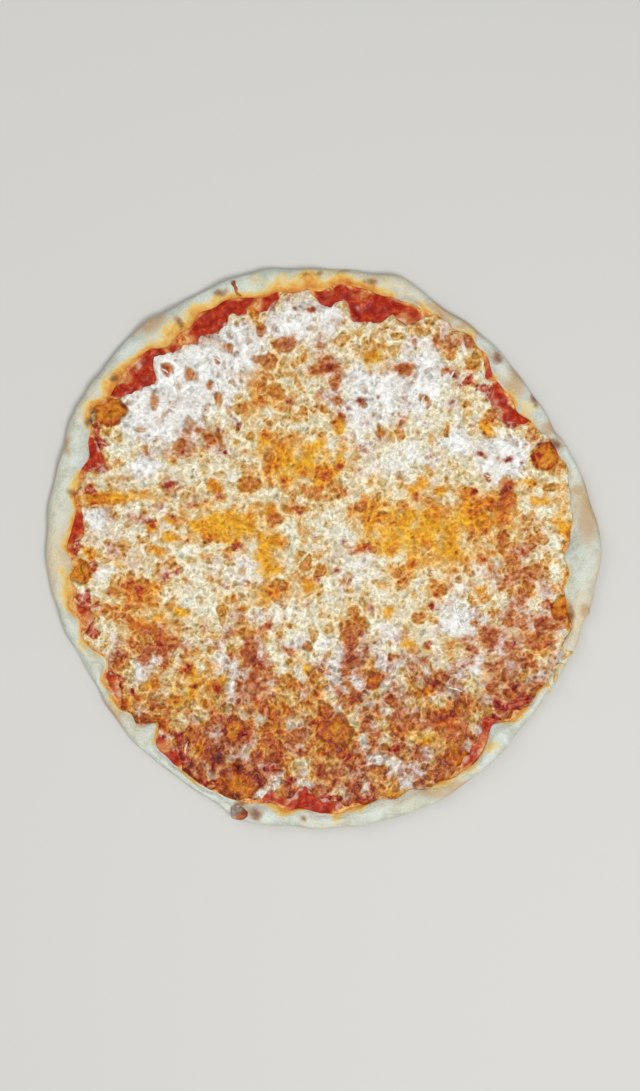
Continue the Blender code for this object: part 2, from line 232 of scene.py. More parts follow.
# Broad stretches with a thinner wash of golden oil.
GILDED_STRETCHES = (
    (540, 652, 24, 30), (240, 525, 110, 46), (300, 460, 100, 60), (430, 560, 110, 70),
    (385, 520, 60, 80), (500, 515, 50, 60), (275, 590, 50, 34), (100, 498, 80, 20),
    (145, 615, 60, 70), (562, 530, 26, 90), (190, 690, 80, 60), (285, 712, 90, 60),
    (335, 735, 60, 50), (440, 720, 60, 40), (262, 395, 40, 60), (375, 355, 40, 30),
)
TOASTED_SPOTS = (
    (155, 403, 13, 11), (168, 372, 12, 14), (188, 373, 12, 11), (178, 387, 9, 6),
    (213, 385, 9, 11), (220, 402, 9, 13), (219, 362, 6, 9), (231, 350, 6, 10), (131, 401, 8, 6),
    (140, 432, 14, 6), (158, 441, 8, 6), (178, 445, 14, 9), (208, 440, 10, 9), (262, 330, 10, 12),
    (285, 345, 20, 15), (258, 361, 14, 8), (270, 362, 13, 12), (262, 389, 8, 18),
    (275, 392, 16, 13), (303, 413, 7, 14), (299, 386, 8, 7), (325, 369, 9, 8), (335, 383, 10, 14),
    (345, 340, 12, 14), (380, 430, 14, 12), (398, 338, 8, 7), (412, 343, 8, 7), (405, 371, 14, 9),
    (400, 434, 9, 16), (363, 403, 7, 7), (240, 408, 16, 9), (268, 423, 9, 8), (285, 410, 9, 8),
    (453, 356, 9, 8), (443, 373, 8, 7), (425, 400, 8, 16), (448, 433, 8, 8), (530, 437, 9, 9),
    (508, 405, 10, 8), (491, 418, 8, 8), (140, 587, 22, 16), (176, 568, 13, 11), (205, 543, 8, 7),
    (104, 610, 10, 9), (130, 618, 10, 9), (158, 631, 10, 9), (221, 612, 9, 26), (145, 637, 12, 9),
    (182, 455, 18, 7), (124, 544, 12, 16), (268, 462, 14, 20), (248, 485, 26, 14),
    (323, 472, 13, 13), (335, 487, 16, 18), (309, 490, 10, 14), (325, 498, 26, 8),
    (341, 496, 9, 7), (362, 504, 12, 12), (275, 521, 15, 14), (294, 509, 22, 9),
    (278, 585, 17, 13), (307, 563, 9, 14), (299, 552, 8, 6), (320, 572, 9, 11), (372, 550, 10, 9),
    (392, 573, 9, 9), (402, 585, 13, 12), (401, 505, 8, 8), (378, 498, 9, 8), (352, 610, 14, 9),
    (355, 625, 28, 18), (348, 640, 16, 9), (313, 632, 10, 16), (245, 635, 16, 14),
    (280, 637, 9, 7), (420, 620, 12, 14), (505, 500, 18, 22), (495, 505, 12, 10),
    (503, 543, 12, 22), (468, 496, 14, 9), (488, 478, 8, 8), (473, 512, 9, 8), (470, 571, 11, 11),
    (459, 581, 9, 7), (485, 597, 9, 8), (530, 548, 9, 8), (540, 540, 10, 8), (537, 570, 26, 13),
    (530, 587, 10, 9), (510, 592, 9, 8), (509, 620, 9, 9), (475, 620, 9, 8), (540, 625, 14, 12),
    (440, 590, 14, 8), (540, 640, 20, 12), (490, 637, 14, 7), (551, 488, 14, 9),
    (564, 548, 10, 12), (146, 648, 14, 9), (172, 648, 9, 8), (185, 657, 9, 8), (155, 708, 10, 9),
    (145, 720, 9, 12), (193, 735, 12, 12), (250, 688, 24, 11), (250, 655, 9, 8), (307, 645, 9, 9),
    (325, 710, 14, 16), (352, 665, 22, 8), (390, 660, 9, 8), (393, 702, 12, 14),
    (410, 718, 14, 12), (365, 730, 12, 10), (380, 751, 20, 9), (378, 768, 24, 8),
    (270, 757, 12, 9), (342, 775, 10, 8), (528, 655, 13, 11), (510, 675, 13, 14), (447, 678, 9, 8),
    (492, 685, 12, 9), (440, 715, 28, 15), (460, 708, 16, 14), (462, 765, 12, 9),
    (435, 775, 18, 7), (472, 344, 14, 10), (472, 361, 12, 16), (255, 313, 10, 22),
)
RED_POOLS = (
    (467, 382, 12, 12), (488, 392, 20, 20), (497, 402, 12, 10), (513, 422, 18, 14),
    (535, 462, 9, 14), (103, 443, 16, 12), (92, 457, 18, 14), (103, 468, 14, 12), (90, 490, 14, 8),
    (77, 520, 10, 16), (77, 548, 8, 20), (84, 608, 18, 28), (96, 630, 18, 14), (118, 680, 16, 18),
    (130, 692, 14, 10), (160, 740, 14, 12), (178, 735, 11, 10), (182, 755, 18, 18),
    (205, 782, 26, 9), (222, 705, 18, 18), (225, 735, 12, 10), (245, 735, 12, 10),
    (270, 768, 13, 12), (278, 800, 10, 12), (290, 780, 10, 8), (300, 795, 14, 12),
    (332, 798, 28, 7), (365, 797, 12, 6), (499, 722, 9, 24), (484, 741, 16, 8), (510, 705, 26, 14),
    (525, 700, 12, 10), (550, 605, 10, 10), (432, 605, 8, 8), (428, 643, 8, 7), (395, 750, 14, 6),
    (168, 374, 9, 10), (96, 427, 8, 16), (96, 568, 8, 14),
)
# Where the sheet of cheese is thin, so that the sauce tints it and many spots have browned.
THIN_STRETCHES = (
    (205, 715, 130, 100), (225, 745, 60, 50), (300, 765, 130, 56), (400, 750, 120, 70),
    (255, 668, 60, 70), (360, 660, 64, 50), (535, 595, 60, 120), (480, 585, 60, 50),
    (125, 530, 54, 76), (150, 640, 60, 50), (505, 650, 70, 60), (310, 345, 50, 30),
    (190, 440, 80, 30), (330, 378, 40, 44), (450, 335, 60, 30),
)
# Broad stretches that are baked a shade darker, to amber.
AMBER_STRETCHES = (
    (305, 475, 84, 50), (268, 385, 44, 60), (140, 605, 60, 76), (185, 640, 90, 50),
    (265, 720, 76, 60), (325, 722, 70, 60), (350, 625, 40, 56), (440, 715, 70, 56),
    (490, 520, 60, 90), (505, 580, 90, 110), (160, 640, 70, 70), (520, 672, 50, 50),
    (522, 532, 50, 80), (275, 580, 56, 40), (305, 575, 40, 40), (100, 498, 80, 18),
    (405, 372, 34, 34), (395, 432, 40, 24), (215, 500, 60, 30), (420, 580, 70, 40),
    (240, 640, 60, 50), (140, 700, 60, 60), (550, 480, 36, 60), (390, 770, 80, 30),
)
# Bubbles and blots that are wider than a shred is long, glossy and dark orange.
WIDE_BLISTERS = (
    (110, 411, 34, 28), (78, 570, 30, 24), (545, 457, 28, 26), (562, 606, 18, 24),
    (240, 784, 38, 32), (235, 732, 22, 24), (340, 733, 28, 32), (455, 755, 24, 20),
    (325, 733, 14, 20), (372, 680, 16, 18),
)
BURNT_SPOTS = (
    (179, 324, 9, 15), (115, 377, 13, 9), (225, 293, 14, 7), (240, 805, 13, 8), (255, 814, 15, 12),
    (65, 573, 8, 22), (91, 416, 6, 20), (497, 358, 10, 12), (555, 445, 16, 9), (533, 401, 8, 13),
    (304, 817, 6, 9), (569, 612, 10, 26), (73, 493, 11, 12), (370, 284, 13, 8), (307, 276, 9, 7),
    (322, 276, 8, 7), (343, 272, 16, 5), (205, 543, 6, 5), (235, 795, 10, 9), (278, 588, 9, 7),
    (337, 496, 6, 6),
)
TANNED_RIM = (
    (445, 312, 80, 20), (472, 328, 36, 24), (551, 428, 16, 14), (588, 512, 26, 64),
    (590, 525, 16, 20), (579, 491, 14, 12), (585, 612, 12, 12), (432, 790, 30, 14),
    (398, 806, 84, 16), (450, 786, 40, 16), (110, 715, 24, 40), (150, 322, 40, 26),
    (146, 329, 12, 10), (68, 445, 10, 18), (60, 505, 34, 130), (60, 470, 26, 60),
    (515, 385, 20, 30),
)
STAINED_RIM = (
    (157, 722, 16, 12), (318, 284, 130, 16), (314, 281, 34, 10), (359, 288, 24, 12),
    (525, 415, 18, 20), (563, 518, 16, 30), (65, 535, 12, 50), (59, 520, 16, 100),
    (67, 573, 12, 26), (66, 575, 10, 22), (100, 650, 16, 14), (470, 765, 22, 12),
    (378, 801, 40, 12), (490, 745, 18, 14), (105, 400, 14, 30),
)

# How far the toppings' colours bleed into each other, and how far round a browned spot the
# cheese is browned a little too.
BLEED = 0.0011
HALO = 0.0026
# Lumps that melted together and cover the whole sheet: how many, and their widths in the
# photo's pixels.
PATCHWORK = 3800
PATCH_WIDTHS = (6.0, 13.0)
# Larger clots on the near side, with dark gaps between them.
CLOTS = 900
CLOT_WIDTHS = (12.0, 26.0)
# Small round cells in the cheese, browned inside: how many are tried, and their widths in
# the photo's pixels.
STREWN_CELLS = 2600
CELL_WIDTHS = (4.0, 9.0)
# Shreds of cheese that melted together: how many, their length and width, how high one
# stands, how much higher the topmost ones lie than the lowest, and how far inside the
# cheese's edge their middles stay.
MELTED_SHREDS = 9000
SHRED_LENGTHS = (0.0045, 0.0115)
SHRED_WIDTHS = (0.0015, 0.0026)
SHRED_RANGES = ((0, np.pi), SHRED_LENGTHS, SHRED_WIDTHS, (-0.5, 0.5))
SHRED_HIGH = 0.0006
SHRED_PILE = 0.0006
SHRED_INSIDE = 0.0008
# Fine pale threads where shreds ran out, which are also painted as highlights: how many are
# tried, then how they are headed, their length and width, and how much they bend.
THREADS = 7000
THREAD_RANGES = ((0, np.pi), (0.0035, 0.0095), (0.0008, 0.0012), (-1.1, 1.1))
# Shreds that kept their shape, on the white drifts: how many are tried, how high above the
# level of the sauce they lie where they reach out over it, and the faces of one.
WHOLE_SHREDS = 600
SHRED_REST = 0.0004
SHRED_STATIONS = 6
SHRED_SIDES = 6
# The sheet of cheese is made in quarters, with this many squares along each side of one.
QUARTER_LINES = 285


def inks(red, green, blue):
    """A colour as the photo's numbers give it, turned into the linear light of a shader."""
    shown = np.array((red, green, blue)) / 255
    linear = np.where(shown <= 0.04045, shown / 12.92, ((shown + 0.055) / 1.055) ** 2.4)
    return (*linear.tolist(), 1)


# ---- Outlines -------------------------------------------------------------------------


def swell_sum(angle, swells):
    """The sum of smooth hills, each highest at its own angle and gone a few widths away."""
    where, width, rise = np.array(swells).T
    away = (angle[..., None] - where + 180) % 360 - 180
    return (rise * np.exp(-((away / width) ** 2))).sum(axis=-1)


def ripple(angle, size, lobes):
    """Even unevenness: sine waves round the pizza, each with its own start."""
    counts = np.array(lobes)
    waves = np.sin(np.radians(angle)[..., None] * counts + 2.4 * counts)
    return size * waves.sum(axis=-1) / np.sqrt(len(lobes))


def crust_radius(angle):
    """The crust's outline: its circle with its swells and its ripple."""
    return CRUST_RADIUS + swell_sum(angle, CRUST_SWELLS) + ripple(angle, CRUST_RIPPLE, CRUST_WAVES)


def topping_radius(angle):
    """The outline of sauce and cheese, inside the crust's by the rim's least width or more."""
    ragged = ripple(angle, TOPPING_RIPPLE, TOPPING_WAVES)
    wanted = TOPPING_RADIUS + swell_sum(angle, TOPPING_SWELLS) + ragged
    return np.minimum(wanted, crust_radius(angle) - LEAST_RIM)


def cheese_radius(angle):
    """The cheese's outline in the solids: the toppings', less the band of bare sauce."""
    bare = LEAST_BARE + swell_sum(angle, BARE_SAUCE)
    ragged = ripple(angle, CHEESE_RIPPLE, CHEESE_WAVES)
    return topping_radius(angle) - np.maximum(LEAST_BARE, bare + ragged)


def ragged_radius(angle):
    """The cheese's edge with its finest lobes, which stay inside the rim: round hills that
    meet in sharp notches, half sine waves turned up, unevenly spaced."""
    turn, counts = np.radians(angle)[..., None], np.array(LOBE_COUNTS)
    uneven = 1.9 * counts + 0.9 * np.sin(11 * turn + counts) + 0.5 * np.sin(23 * turn + counts)
    hills = np.abs(np.sin(turn * counts / 2 + uneven)) - 2 / np.pi
    lobes = (np.array(LOBE_SIZES) * hills).sum(axis=-1)
    bare = topping_radius(angle) - cheese_radius(angle)
    spread = RUN_OUT * (1 - smooth(bare, *NARROW_BAND))
    reach = cheese_radius(angle) + lobes + spread + swell_sum(angle, TONGUES)
    return np.minimum(reach, topping_radius(angle) + GAP / 2)


def outline_middle():
    """The middle of the box round the crust's outline."""
    angle = np.arange(OUTLINE_STEPS) * 360 / OUTLINE_STEPS
    radius, turn = crust_radius(angle), np.radians(angle)
    across, along = radius * np.cos(turn), radius * np.sin(turn)
    return (across.min() + across.max()) / 2, (along.min() + along.max()) / 2


MIDDLE_X, MIDDLE_Y = outline_middle()


def spot_at(angle, radius):
    """x and y of a spot, from its angle and distance round the middle of the crust's circle."""
    turn = np.radians(angle)
    return radius * np.cos(turn) - MIDDLE_X, radius * np.sin(turn) - MIDDLE_Y


def polar_of(x, y):
    """The angle and distance of a spot round the middle of the crust's circle."""
    return (
        np.degrees(np.arctan2(y + MIDDLE_Y, x + MIDDLE_X)) % 360,
        np.hypot(x + MIDDLE_X, y + MIDDLE_Y),
    )


def pixel_spot(across, down):
    """x and y of the spot that the photo shows at a pixel."""
    return (
        (across - CIRCLE_PIXEL[0]) * PIXEL - MIDDLE_X,
        (CIRCLE_PIXEL[1] - down) * PIXEL - MIDDLE_Y,
    )


def spot_pixel(x, y):
    """The pixel at which the photo shows a spot: how far across and down."""
    return (x + MIDDLE_X) / PIXEL + CIRCLE_PIXEL[0], CIRCLE_PIXEL[1] - (y + MIDDLE_Y) / PIXEL


def laid_out(x, y, turn, along, aside):
    """x and y of what lies so far along and aside of a spot, at a heading in radians."""
    return (
        x + along * np.cos(turn) - aside * np.sin(turn),
        y + along * np.sin(turn) + aside * np.cos(turn),
    )


# ---- Maps -----------------------------------------------------------------------------


def smooth(value, low, high):
    """0 below low, 1 above high, and an even S between them."""
    share = np.clip((value - low) / (high - low), 0, 1)
    return share * share * (3 - 2 * share)


def blur(field, size):
    """A map or a band of cells, softened: its waves fade by a bell curve of their number
    across the size, which is given in cells."""
    rows, columns = field.shape
    up, across = np.meshgrid(np.fft.fftfreq(rows), np.fft.rfftfreq(columns), indexing="ij")
    fade = np.exp(-2 * (np.pi * size) ** 2 * (up**2 + across**2))
    return np.fft.irfft2(np.fft.rfft2(field) * fade, s=field.shape)


def random_waves(shape, size, seed):
    """Seeded random cells, softened to lumps of the size in cells, with mean 0, spread 1."""
    soft = blur(np.random.default_rng(seed).standard_normal(shape), size)
    return (soft - soft.mean()) / soft.std()


def map_waves(size, seed):
    """Random waves over the whole map, with lumps of the size in metres."""
    return random_waves((MAP_CELLS, MAP_CELLS), size / CELL, seed)


def cell_middles():
    """x and y of the middle of every cell of a map."""
    line = (np.arange(MAP_CELLS) + 0.5) * CELL - MAP_REACH
    return np.meshgrid(line, line)


MAP_X, MAP_Y = cell_middles()
# Painted ovals get uneven outlines: the map is pulled about this far before they are drawn,
# in waves this wide.
WOBBLE = (0.0011, 0.0030)
WOBBLE_X = MAP_X + WOBBLE[0] * map_waves(WOBBLE[1], seed=1)
WOBBLE_Y = MAP_Y + WOBBLE[0] * map_waves(WOBBLE[1], seed=2)
# How far out a place counts as lying where no oval is near, in an oval's own half widths.
FAR_OUT = 9.0


def spot_field(ovals, seed=0):
    """Three maps of ovals: how far out a place lies from the nearest one, where 1 is on that
    oval's outline and 0 in its middle, how much further out from the next nearest, and a
    seeded number from 0 to 1 of the nearest one's own."""
    far, tone = np.full_like(MAP_X, FAR_OUT), np.zeros_like(MAP_X)
    second = np.full_like(MAP_X, 2 * FAR_OUT)
    numbers = np.random.default_rng(seed).uniform(0, 1, len(ovals))
    for (across, down, wide, high), number in zip(ovals, numbers):
        x, y = pixel_spot(across, down)
        reach = max(wide, high) * PIXEL + 4 * WOBBLE[0]
        columns, rows = (
            slice(*(int((side + MAP_REACH) / CELL) for side in (spot - reach, spot + reach)))
            for spot in (x, y)
        )
        window = rows, columns
        away = np.hypot(
            (WOBBLE_X[window] - x) / (wide * PIXEL / 2), (WOBBLE_Y[window] - y) / (high * PIXEL / 2)
        )
        tone[window] = np.where(away < far[window], number, tone[window])
        second[window] = np.minimum(second[window], np.maximum(away, far[window]))
        far[window] = np.minimum(far[window], away)
    return far, second - far, tone


def painted(ovals, soft):
    """A map of soft ovals: 1 well inside one, 0 outside."""
    far, _, _ = spot_field(ovals)
    return 1 - smooth(far, 1 - soft, 1 + soft)


def ring_round(far, where, wide):
    """A soft ring round each oval of a spot field, a bell curve of the way out."""
    return np.exp(-(((far - where) / wide) ** 2))


def cell_at(x, y):
    """The row and the column of the cell that each spot lies in."""
    return tuple(
        np.clip(((side + MAP_REACH) / CELL).astype(int), 0, MAP_CELLS - 1) for side in (y, x)
    )


def sample(field, x, y):
    """A map's value at any spots, weighed between the four nearest cells."""
    column = np.clip((x + MAP_REACH) / CELL - 0.5, 0, MAP_CELLS - 1.001)
    row = np.clip((y + MAP_REACH) / CELL - 0.5, 0, MAP_CELLS - 1.001)
    left, low = column.astype(int), row.astype(int)
    right, up = column - left, row - low
    near = field[low, left] * (1 - right) + field[low, left + 1] * right
    far = field[low + 1, left] * (1 - right) + field[low + 1, left + 1] * right
    return near * (1 - up) + far * up


# ---- Meshes ---------------------------------------------------------------------------


def quad_halves(one, two, three, four):
    """Both triangles of every quad, from the numbers of its corners in turn."""
    first = np.stack((one, two, three), axis=-1).reshape(-1, 3)
    second = np.stack((one, three, four), axis=-1).reshape(-1, 3)
    return np.concatenate((first, second))


def closed_skin(points):
    """Closed shapes from rings of points, in an array of shapes, rings, steps and x y z.

    Quads join each ring to the next, and a fan closes the first and the last ring at the
    middle of its points. Returns all the points in a row, and the triangles.
    """
    shapes, rings, steps, _ = points.shape
    ends = points[:, (0, -1)].mean(axis=2)
    spots = np.concatenate((points.reshape(shapes, -1, 3), ends), axis=1)
    ring = np.arange(rings * steps).reshape(rings, steps)
    after = np.roll(ring, -1, axis=1)
    walls = quad_halves(ring[:-1], ring[1:], after[1:], after[:-1])
    first, last = rings * steps, rings * steps + 1
    top = np.stack((np.full(steps, first), ring[0], after[0]), axis=-1)
    end = np.stack((np.full(steps, last), after[-1], ring[-1]), axis=-1)
    one = np.concatenate((walls, top, end))
    starts = np.arange(shapes)[:, None, None] * (rings * steps + 2)
    return spots.reshape(-1, 3), (one[None] + starts).reshape(-1, 3)


def new_piece(name, points, triangles, tints, finish, replaced=None):
    """An object of the pizza from whole arrays, with one number a point for each tint."""
    mesh = bpy.data.meshes.new(name)
    mesh.vertices.add(len(points))
    mesh.vertices.foreach_set("co", points.ravel())
    mesh.loops.add(triangles.size)
    mesh.loops.foreach_set("vertex_index", triangles.ravel())
    mesh.polygons.add(len(triangles))
    mesh.polygons.foreach_set("loop_start", np.arange(0, triangles.size, 3))
    mesh.update(calc_edges=True)
    for tint, values in tints.items():
        layer = mesh.attributes.new(tint, "FLOAT", "POINT")
        layer.data.foreach_set("value", values.ravel().astype(np.float32))
    mesh.shade_smooth()
    mesh.materials.append(finish)
    piece = bpy.data.objects.new(name, mesh)
    bpy.context.scene.collection.objects.link(piece)
    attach(piece, "root")
    if replaced:
        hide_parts(replaced)
    return piece


# ---- Materials ------------------------------------------------------------------------

# How a photo's numbers follow the light, and the darkest number that a colour is lowered to.
PHOTO_GAMMA = 2.2
DARKEST = 0.02


class Finish:
    """A new material, and short ways to add nodes to it that are joined as they come."""

    def __init__(self, name):
        """A material with the standard shader, whose patterns follow the piece's own place."""
        self.material = bpy.data.materials.new(name)
        self.material.use_nodes = True
        self.tree = self.material.node_tree
        self.shader = self.tree.nodes["Principled BSDF"]
        self.place = self.tree.nodes.new("ShaderNodeTexCoord").outputs["Object"]

    def node(self, kind, inputs, **settings):
        """A node with its settings, each input set to a number or joined to an output."""
        made = self.tree.nodes.new(kind)
        for setting, value in settings.items():
            setattr(made, setting, value)
        for socket, value in inputs.items():
            if isinstance(value, bpy.types.NodeSocket):
                self.tree.links.new(value, made.inputs[socket])
            else:
                made.inputs[socket].default_value = value
        return made

    def tint(self, name):
        """The number that each point of the piece carries under a name."""
        return self.node("ShaderNodeAttribute", {}, attribute_name=name).outputs["Fac"]

    def speckle(self, size, detail=3, roughness=0.55, distortion=0.3):
        """Uneven cloudy noise about 0.5, with lumps of the size in metres."""
        inputs = {
            "Vector": self.place,
            "Scale": 1 / size,
            "Detail": detail,
            "Roughness": roughness,
            "Distortion": distortion,
        }
        return self.node("ShaderNodeTexNoise", inputs).outputs["Fac"]

    def sum(self, *parts):
        """The sum of numbers or outputs, each alone or in a pair with what multiplies it."""
        total = 0.0
        for part in parts:
            value, times = part if isinstance(part, tuple) else (part, 1.0)
            inputs = {0: value, 1: times, 2: total}
            total = self.node("ShaderNodeMath", inputs, operation="MULTIPLY_ADD").outputs[0]
        return total

    def times(self, one, other):
        """The product of two numbers or outputs."""
        return self.node("ShaderNodeMath", {0: one, 1: other}, operation="MULTIPLY").outputs[0]

    def step(self, value, low, high, top=1.0, bottom=0.0):
        """From bottom at low to top at high, in an even S."""
        inputs = {
            "Value": value,
            "From Min": low,
            "From Max": high,
            "To Min": bottom,
            "To Max": top,
        }
        step = self.node("ShaderNodeMapRange", inputs, interpolation_type="SMOOTHSTEP")
        return step.outputs["Result"]

    def blend(self, share, under, over, way="MIX"):
        """Two colours mixed: all of the one under at share 0, all of the one over at 1."""
        inputs = {"Factor": share, 6: under, 7: over}
        mix = self.node("ShaderNodeMix", inputs, data_type="RGBA", blend_type=way)
        return mix.outputs[2]

    def ramp(self, value, stops):
        """A colour by a value, through even blends between stops of (value, colour)."""
        made = self.node("ShaderNodeValToRGB", {"Fac": value})
        steps = made.color_ramp.elements
        for _ in stops[2:]:
            steps.new(0.5)
        for step, (where, colour) in zip(steps, stops):
            step.position = where
            step.color = colour
        return made.outputs["Color"]

    def lift(self, colour, amount):
        """A colour with all three of its numbers, as a photo gives them, raised by an even
        amount, or lowered where that is below 0, but never to black."""
        shown = self.node("ShaderNodeGamma", {"Color": colour, "Gamma": 1 / PHOTO_GAMMA})
        moved = {0: shown.outputs[0], 1: amount}
        moved = self.node("ShaderNodeVectorMath", moved, operation="ADD")
        kept = {0: moved.outputs[0], 1: (DARKEST,) * 3}
        kept = self.node("ShaderNodeVectorMath", kept, operation="MAXIMUM")
        kept = {"Color": kept.outputs[0], "Gamma": PHOTO_GAMMA}
        return self.node("ShaderNodeGamma", kept).outputs[0]

    def lumps(self, size, stray):
        """Rounded lumps about the size wide, pulled out of shape by up to the stray: 1 on the
        middle of each, 0 in the gaps between them."""
        noise = self.node("ShaderNodeTexNoise", {"Vector": self.place, "Scale": 1 / size})
        pulled = {0: noise.outputs["Color"], 1: (2 * stray,) * 3, 2: self.place}
        pulled = self.node("ShaderNodeVectorMath", pulled, operation="MULTIPLY_ADD")
        inputs = {"Vector": pulled.outputs[0], "Scale": 1 / size, "Smoothness": 0.35}
        cells = self.node("ShaderNodeTexVoronoi", inputs, feature="SMOOTH_F1")
        return self.step(cells.outputs["Distance"], 0.15, 0.65, top=0.0, bottom=1.0)

    def strands(self, size, wide):
        """A web of thin curved lines, where cloudy noise of the size crosses its middle."""
        noise = self.speckle(size, detail=1, roughness=0.5, distortion=0.9)
        middle = self.sum(noise, -0.5)
        away = self.node("ShaderNodeMath", {0: middle}, operation="ABSOLUTE").outputs[0]
        return self.step(away, 0, wide, top=0.0, bottom=1.0)

    def bump(self, height, distance):
        """Fine relief: the shader's normal, tilted as if the surface had this height."""
        inputs = {"Height": height, "Distance": distance}
        joined = self.shader.inputs["Normal"]
        made = self.node("ShaderNodeBump", inputs)
        self.tree.links.new(made.outputs["Normal"], joined)

    def wear(self, **sockets):
        """Sets or joins the shader's own inputs: base_color becomes Base Color."""
        for name, value in sockets.items():
            socket = self.shader.inputs[name.replace("_", " ").title().replace("Ior", "IOR")]
            if isinstance(value, bpy.types.NodeSocket):
                self.tree.links.new(value, socket)
            else:
                socket.default_value = value


# Melted cheese from white curd to dark crust, where it is curdy and elsewhere, then what its
# colour is multiplied by where it is golden with oil or rosy with sauce, the painted highlights
# on its crests in both kinds, and its scorched spots.
CURD_BAKE = (
    (0.00, inks(252, 250, 246)),
    (0.18, inks(244, 241, 233)),
    (0.34, inks(230, 221, 210)),
    (0.48, inks(213, 176, 146)),
    (0.64, inks(202, 122, 54)),
    (0.82, inks(163, 77, 18)),
    (1.00, inks(102, 42, 12)),
)
GOLDEN_BAKE = (
    (0.00, inks(247, 245, 232)),
    (0.18, inks(240, 231, 203)),
    (0.34, inks(231, 208, 160)),
    (0.50, inks(221, 171, 91)),
    (0.66, inks(207, 129, 32)),
    (0.82, inks(168, 86, 14)),
    (1.00, inks(104, 46, 10)),
)
GILT = inks(255, 200, 50)
ROSE = inks(230, 196, 192)
BUTTER_CREST_HIGHLIGHT = inks(252, 245, 222)
CURD_CREST_HIGHLIGHT = inks(253, 251, 246)
CHARRED_CHEESE = inks(120, 64, 28)
# Sauce that shows through the cheese, from where it is thinly covered to where it is bare.
SAUCE_SHOWING = (
    (0.0, inks(204, 102, 60)),
    (0.5, inks(184, 62, 36)),
    (1.0, inks(150, 36, 18)),
)


# What every topping's points carry: numbers taken from the maps as they are, then how baked
# it is and how much darker than what lies round it, which is partly painted shade and
# highlight and partly dark outlines and marks.
PLAIN_TINTS = ("curd", "rosy", "gold", "red", "burnt", "glaze")
TOPPING_TINTS = (*PLAIN_TINTS, "bake", "deep")


def cheese_patterns(cheese):
    """What the cheese's colour is worked out from: noise in three sizes, lumps, a web of
    strands in two sizes, and the numbers that its points carry."""
    return SimpleNamespace(
        mottle=cheese.speckle(0.0040, detail=1, roughness=0.5, distortion=0.8),
        grain=cheese.speckle(0.0019, detail=2, roughness=0.55, distortion=0.6),
        rough=cheese.speckle(0.0080, detail=2),
        lumps=cheese.lumps(0.0034, 0.0018),
        web=cheese.sum(cheese.strands(0.0050, 0.060), (cheese.strands(0.0032, 0.070), 0.6)),
        **{name: cheese.tint(name) for name in TOPPING_TINTS},
    )


def baked_colour(cheese, seen, baked, curdy):
    """The cheese's own colour: how it is baked, golden or curdy, then the sauce that shows
    through it, then scorched spots."""
    colour = cheese.blend(curdy, cheese.ramp(baked, GOLDEN_BAKE), cheese.ramp(baked, CURD_BAKE))
    saucy = cheese.sum(seen.red, (seen.mottle, 0.6), (seen.grain, 0.3), -0.45)
    pulpy = cheese.sum((seen.mottle, 2.0), (seen.grain, 0.6), -0.8)
    showing = cheese.ramp(pulpy, SAUCE_SHOWING)
    colour = cheese.blend(cheese.step(saucy, 0.25, 0.85, top=0.90), colour, showing)
    charred = cheese.sum(seen.burnt, (seen.mottle, 0.8), (seen.grain, 0.4), -0.6)
    return cheese.blend(cheese.step(charred, 0.3, 1.0, top=0.8), colour, CHARRED_CHEESE)


def shaded_colour(cheese, seen, colour, baked, curdy):
    """A colour with painted highlights on its crests, then with painted light and shade: broad in
    the gaps between lumps, fine in the grain, and weaker where it is baked dark."""
    # Painted shade, broad: darker where the points carry darkness and in the gaps between lumps.
    hollow = cheese.sum(seen.deep, (seen.lumps, -0.26), (seen.mottle, 0.3), -0.08)
    hollow = cheese.times(hollow, cheese.step(seen.curd, 0.6, 1.0, top=0.85, bottom=1.0))
    # Painted highlights: paler on the crests and along the web of strands, in butter or curd
    # colours.
    crest = cheese.step(cheese.sum((hollow, -1.0), (seen.web, 0.25)), 0.0, 1.0)
    share = cheese.times(crest, cheese.step(baked, 0.35, 0.75, top=0.06, bottom=0.26))
    colour = cheese.blend(share, colour, cheese.blend(curdy, BUTTER_CREST_HIGHLIGHT, CURD_CREST_HIGHLIGHT))
    # Fine painted light and shade in the grain, paler on the lumps and the web.
    fine = cheese.sum(
        (seen.grain, 2.0), (seen.lumps, -0.40), (seen.web, -0.40), (seen.deep, 0.3), -0.63
    )
    fine = cheese.times(fine, cheese.step(seen.rough, 0.3, 0.7, top=1.2, bottom=0.7))
    calm = cheese.sum(seen.curd, (seen.glaze, 1.4), (seen.gold, 0.6))
    fine = cheese.times(fine, cheese.step(calm, 0.3, 1.2, top=0.66, bottom=0.92))
    shade = cheese.step(hollow, -0.1, 1.0, top=-0.23)
    light = cheese.step(fine, -0.9, 0.9, top=-0.13, bottom=0.09)
    white = cheese.step(seen.curd, 0.6, 1.0)
    amount = cheese.sum(shade, light, (crest, 0.07), (white, 0.03))
    amount = cheese.times(amount, cheese.step(baked, 0.5, 0.95, top=0.5, bottom=1.0))
    return cheese.lift(colour, amount)


